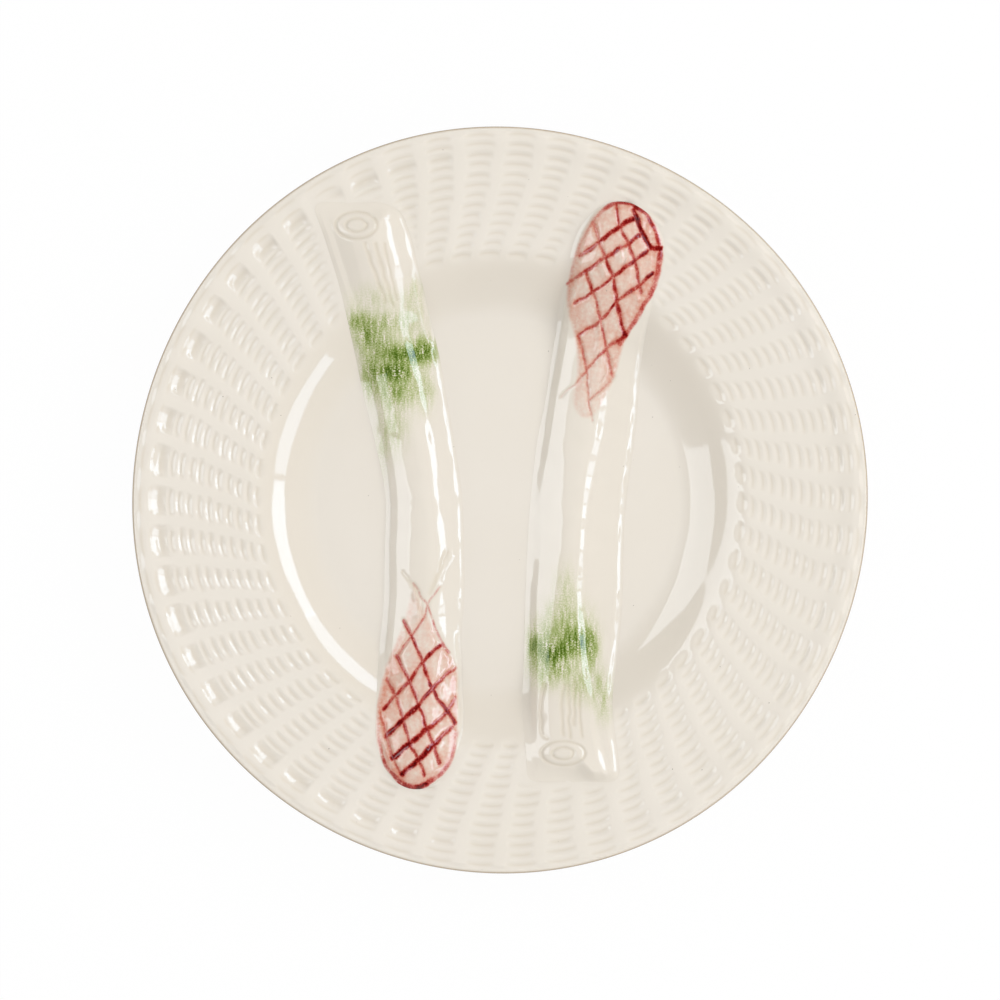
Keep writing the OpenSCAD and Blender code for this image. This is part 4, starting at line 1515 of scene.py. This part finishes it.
# %% [markdown]
# ## Bare clay
# Glaze would stick the plate to the kiln shelf, so it is wiped off the foot. What shows there is
# the buff body of the clay, matt and slightly gritty. A plain brown would look like plastic, so
# the shared groups are placed here too, with coarser values: two tones of clay, open pores and a
# rough skin.

# %% Bare clay
BUFF = (0.60, 0.48, 0.34, 1)
BUFF_DARK = (0.46, 0.35, 0.24, 1)
CLAY_ROUGHNESS = 0.8
GRIT_HEIGHT = 0.1 * MM

clay, tree, shader = new_material("bare_clay")
place = add(tree, "ShaderNodeTexCoord").outputs["Object"]
grit = group_node(tree, flow, Place=place, Scale=420.0, Depth=1.2).outputs["Tone"]
colour = blend(tree, grit, BUFF, BUFF_DARK)
holes = group_node(tree, pinholes, Place=place, Spacing=700.0, Size=0.2, Share=0.2)
colour = blend(tree, holes.outputs["Mask"], colour, SPECK)
tree.links.new(colour, shader.inputs["Base Color"])
grain = group_node(tree, ripples, Place=place, Scale=600.0, Fine=0.6).outputs["Height"]
tree.links.new(bump_of(tree, grain, GRIT_HEIGHT), shader.inputs["Normal"])
shader.inputs["Roughness"].default_value = CLAY_ROUGHNESS
print("material", clay.name)

# %% [markdown]
# ## Which piece stands for which
# Each dressed piece takes the place of one measured node, rides on the plate's single body and
# gets its material.

# %% Dress the pieces
DRESSED = (
    (plate, "plate", cream, "cream_glaze"),
    (foot, "foot_ring", clay, "bare_clay"),
    (left_stalk, "left_spear_stalk", stalk_glaze, "stalk_glaze"),
    (left_tip, "left_spear_tip", bud_glaze, "tip_glaze"),
    (right_stalk, "right_spear_stalk", stalk_glaze, "stalk_glaze"),
    (right_tip, "right_spear_tip", bud_glaze, "tip_glaze"),
)
for piece, node, material, slot in DRESSED:
    piece.data.materials.append(material)
    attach(piece, "root")
    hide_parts(node)
print("dressed", [piece.name for piece, *_ in DRESSED])

# %% [markdown]
# ## Floor
# The photograph has a plain white ground. Stronger lamps would turn a matt floor white too, but
# they would wash out the plate. So the camera and the glaze see the floor mostly as a fixed white
# of strength 1, and a small matt share keeps the plate's soft shadow.

# %% Floor
FLOOR_SIZE = 6.0
FLOOR_WHITE = (0.9, 0.9, 0.9, 1)
FIXED_SHARE = 0.97

floor_mesh = bpy.data.meshes.new("floor")
half = FLOOR_SIZE / 2
corners = [(-half, -half, 0), (half, -half, 0), (half, half, 0), (-half, half, 0)]
floor_mesh.from_pydata(corners, [], [(0, 1, 2, 3)])
floor = bpy.data.objects.new("floor", floor_mesh)
bpy.context.collection.objects.link(floor)

floor_material = bpy.data.materials.new("white_floor")
floor_material.use_nodes = True
tree = floor_material.node_tree
tree.nodes.clear()
rays = tree.nodes.new("ShaderNodeLightPath")
matt = add(tree, "ShaderNodeBsdfDiffuse", {"Color": FLOOR_WHITE})
white = add(tree, "ShaderNodeEmission", {"Color": (1, 1, 1, 1), "Strength": 1.0})
seen = math(tree, "MAXIMUM", rays.outputs["Is Camera Ray"], rays.outputs["Is Transmission Ray"])
seen = math(tree, "MAXIMUM", seen, rays.outputs["Is Glossy Ray"])
share = math(tree, "MULTIPLY", seen, FIXED_SHARE)
ground = add(tree, "ShaderNodeMixShader", {0: share, 1: matt.outputs[0], 2: white.outputs[0]})
tree.nodes.new("ShaderNodeOutputMaterial")
tree.links.new(ground.outputs[0], tree.nodes["Material Output"].inputs["Surface"])
floor_mesh.materials.append(floor_material)
print("floor", FLOOR_SIZE, "m wide")

# %% [markdown]
# ## Light
# Glaze shows its lamps, so they are placed by the highlights in the photograph. Narrow, bright
# tubes stand low on the right and bend round the plate, and draw the crisp white lines. A broad,
# dim panel hangs on the left and draws the pale patches with sharp edges. One set of lamps could
# both show in the glaze and light the clay, but then neither could be set without the other. So
# tubes and panel are seen only in reflections, and one soft key lamp lights the colours.

# %% Lamps
STRIP_TILT = np.radians(62.5)
STRIP_AWAY = 1.3
STRIP_WIDTH = 0.21
STRIP_PARTS = ((-38, -7.4, 3.4), (-5, 29, 5.2), (29.5, 56, 4.2))
PANEL_PLACE = (-1.18, 0.26, 1.0)
PANEL_SIZE = (1.0, 1.1)
PANEL_TURN = np.radians(14)
PANEL_BRIGHT = 3.1
STRIP_TINT = (0.80, 1.0, 1.25)
PANEL_TINT = (0.93, 1.0, 1.08)
KEY_PLACE = (0.95, 0.22, 0.85)
KEY_SIZE = (0.6, 1.4)
KEY_BRIGHT = 2.2


def area_lamp(name, size, bright, place, turn, tint=(1, 1, 1), glossy=False):
    """Rectangular lamp that is either seen in the glaze or lights the colour under it."""
    lamp = bpy.data.lights.new(name, "AREA")
    lamp.shape = "RECTANGLE"
    lamp.size, lamp.size_y = size
    lamp.energy = bright * np.pi * size[0] * size[1]
    lamp.color = tint
    holder = bpy.data.objects.new(name, lamp)
    holder.location = place
    holder.rotation_euler = turn
    holder.visible_glossy = glossy
    holder.visible_diffuse = not glossy
    bpy.context.collection.objects.link(holder)


reach = STRIP_AWAY * np.sin(STRIP_TILT)
strip_z = STRIP_AWAY * np.cos(STRIP_TILT)
for number, (start, end, bright) in enumerate(STRIP_PARTS):
    middle = np.radians((start + end) / 2)
    length = 2 * reach * np.tan(np.radians((end - start) / 2))
    area_lamp(
        f"strip_{number}", (STRIP_WIDTH, length), bright,
        (reach * np.cos(middle), reach * np.sin(middle), strip_z),
        (0, STRIP_TILT, middle), STRIP_TINT, glossy=True,
    )
area_lamp("panel_left", PANEL_SIZE, PANEL_BRIGHT, PANEL_PLACE, (0, 0, PANEL_TURN), PANEL_TINT,
          glossy=True)
key_tilt = np.arctan2(np.hypot(*KEY_PLACE[:2]), KEY_PLACE[2])
key_turn = np.arctan2(KEY_PLACE[1], KEY_PLACE[0])
area_lamp("key_right", KEY_SIZE, KEY_BRIGHT, KEY_PLACE, (0, key_tilt, key_turn))
print("lamps", [lamp.name for lamp in bpy.data.lights])

# %% [markdown]
# ## The room
# The rest is even light from all round, at a level where a colour renders about as it is written.
# A plain white world would do, but a glossy plate would mirror it all over and lose its contrast.
# A studio is dark above its lamps and white where the backdrop stands, so the glaze mirrors a dim
# room overhead and the white backdrop near the horizon and below. The camera sees plain white.

# %% World
AROUND = 0.89
AROUND_SHINE = 0.08
BACKDROP_TOP = 0.2
BACKDROP_SOFT = 0.15

world = bpy.data.worlds.new("studio")
world.use_nodes = True
bpy.context.scene.world = world
tree = world.node_tree
tree.nodes.clear()
rays = tree.nodes.new("ShaderNodeLightPath")
glossy_ray = rays.outputs["Is Glossy Ray"]
strength = math(tree, "MULTIPLY_ADD", glossy_ray, AROUND_SHINE - AROUND, AROUND)
around = add(tree, "ShaderNodeBackground", {"Color": (1, 1, 1, 1), "Strength": strength})
backdrop = add(tree, "ShaderNodeBackground", {"Color": (1, 1, 1, 1), "Strength": 1.0})
direction = add(tree, "ShaderNodeTexCoord").outputs["Generated"]
up = add(tree, "ShaderNodeSeparateXYZ", {0: direction}).outputs["Z"]
heights = {"Value": up, "From Min": BACKDROP_TOP, "From Max": BACKDROP_TOP - BACKDROP_SOFT}
low = add(tree, "ShaderNodeMapRange", heights).outputs["Result"]
seen = math(tree, "MAXIMUM", rays.outputs["Is Camera Ray"], rays.outputs["Is Transmission Ray"])
seen = math(tree, "MAXIMUM", seen, math(tree, "MULTIPLY", glossy_ray, low))
mixed = add(tree, "ShaderNodeMixShader", {0: seen, 1: around.outputs[0], 2: backdrop.outputs[0]})
tree.nodes.new("ShaderNodeOutputWorld")
tree.links.new(mixed.outputs[0], tree.nodes["World Output"].inputs["Surface"])
print("world", world.name)

# %% [markdown]
# ## Camera
# The photograph looks straight down, so the camera hangs over the middle of the plate. A flat
# parallel camera would be simpler, but a real lens shows the high rim a little larger than the
# well. The lens is worked out from the camera's height, so that the plate fills as much of the
# picture as it does in the photograph.

# %% Camera
SENSOR_MM = 36.0

camera_data = bpy.data.cameras.new("overhead")
camera_data.sensor_fit = "HORIZONTAL"
camera_data.sensor_width = SENSOR_MM
picture_width = PICTURE_SIZE * MM_PER_PX
camera_data.lens = SENSOR_MM * (CAMERA_Z - CREST_Z) / picture_width
camera = bpy.data.objects.new("overhead", camera_data)
half_px = (PICTURE_SIZE - 1) / 2 - PICTURE_MIDDLE
camera.location = (half_px * MM_PER_PX, -half_px * MM_PER_PX, CAMERA_Z)
bpy.context.collection.objects.link(camera)
bpy.context.scene.camera = camera
bpy.context.scene.view_settings.view_transform = "Standard"
print("lens", round(camera_data.lens, 1), "mm")
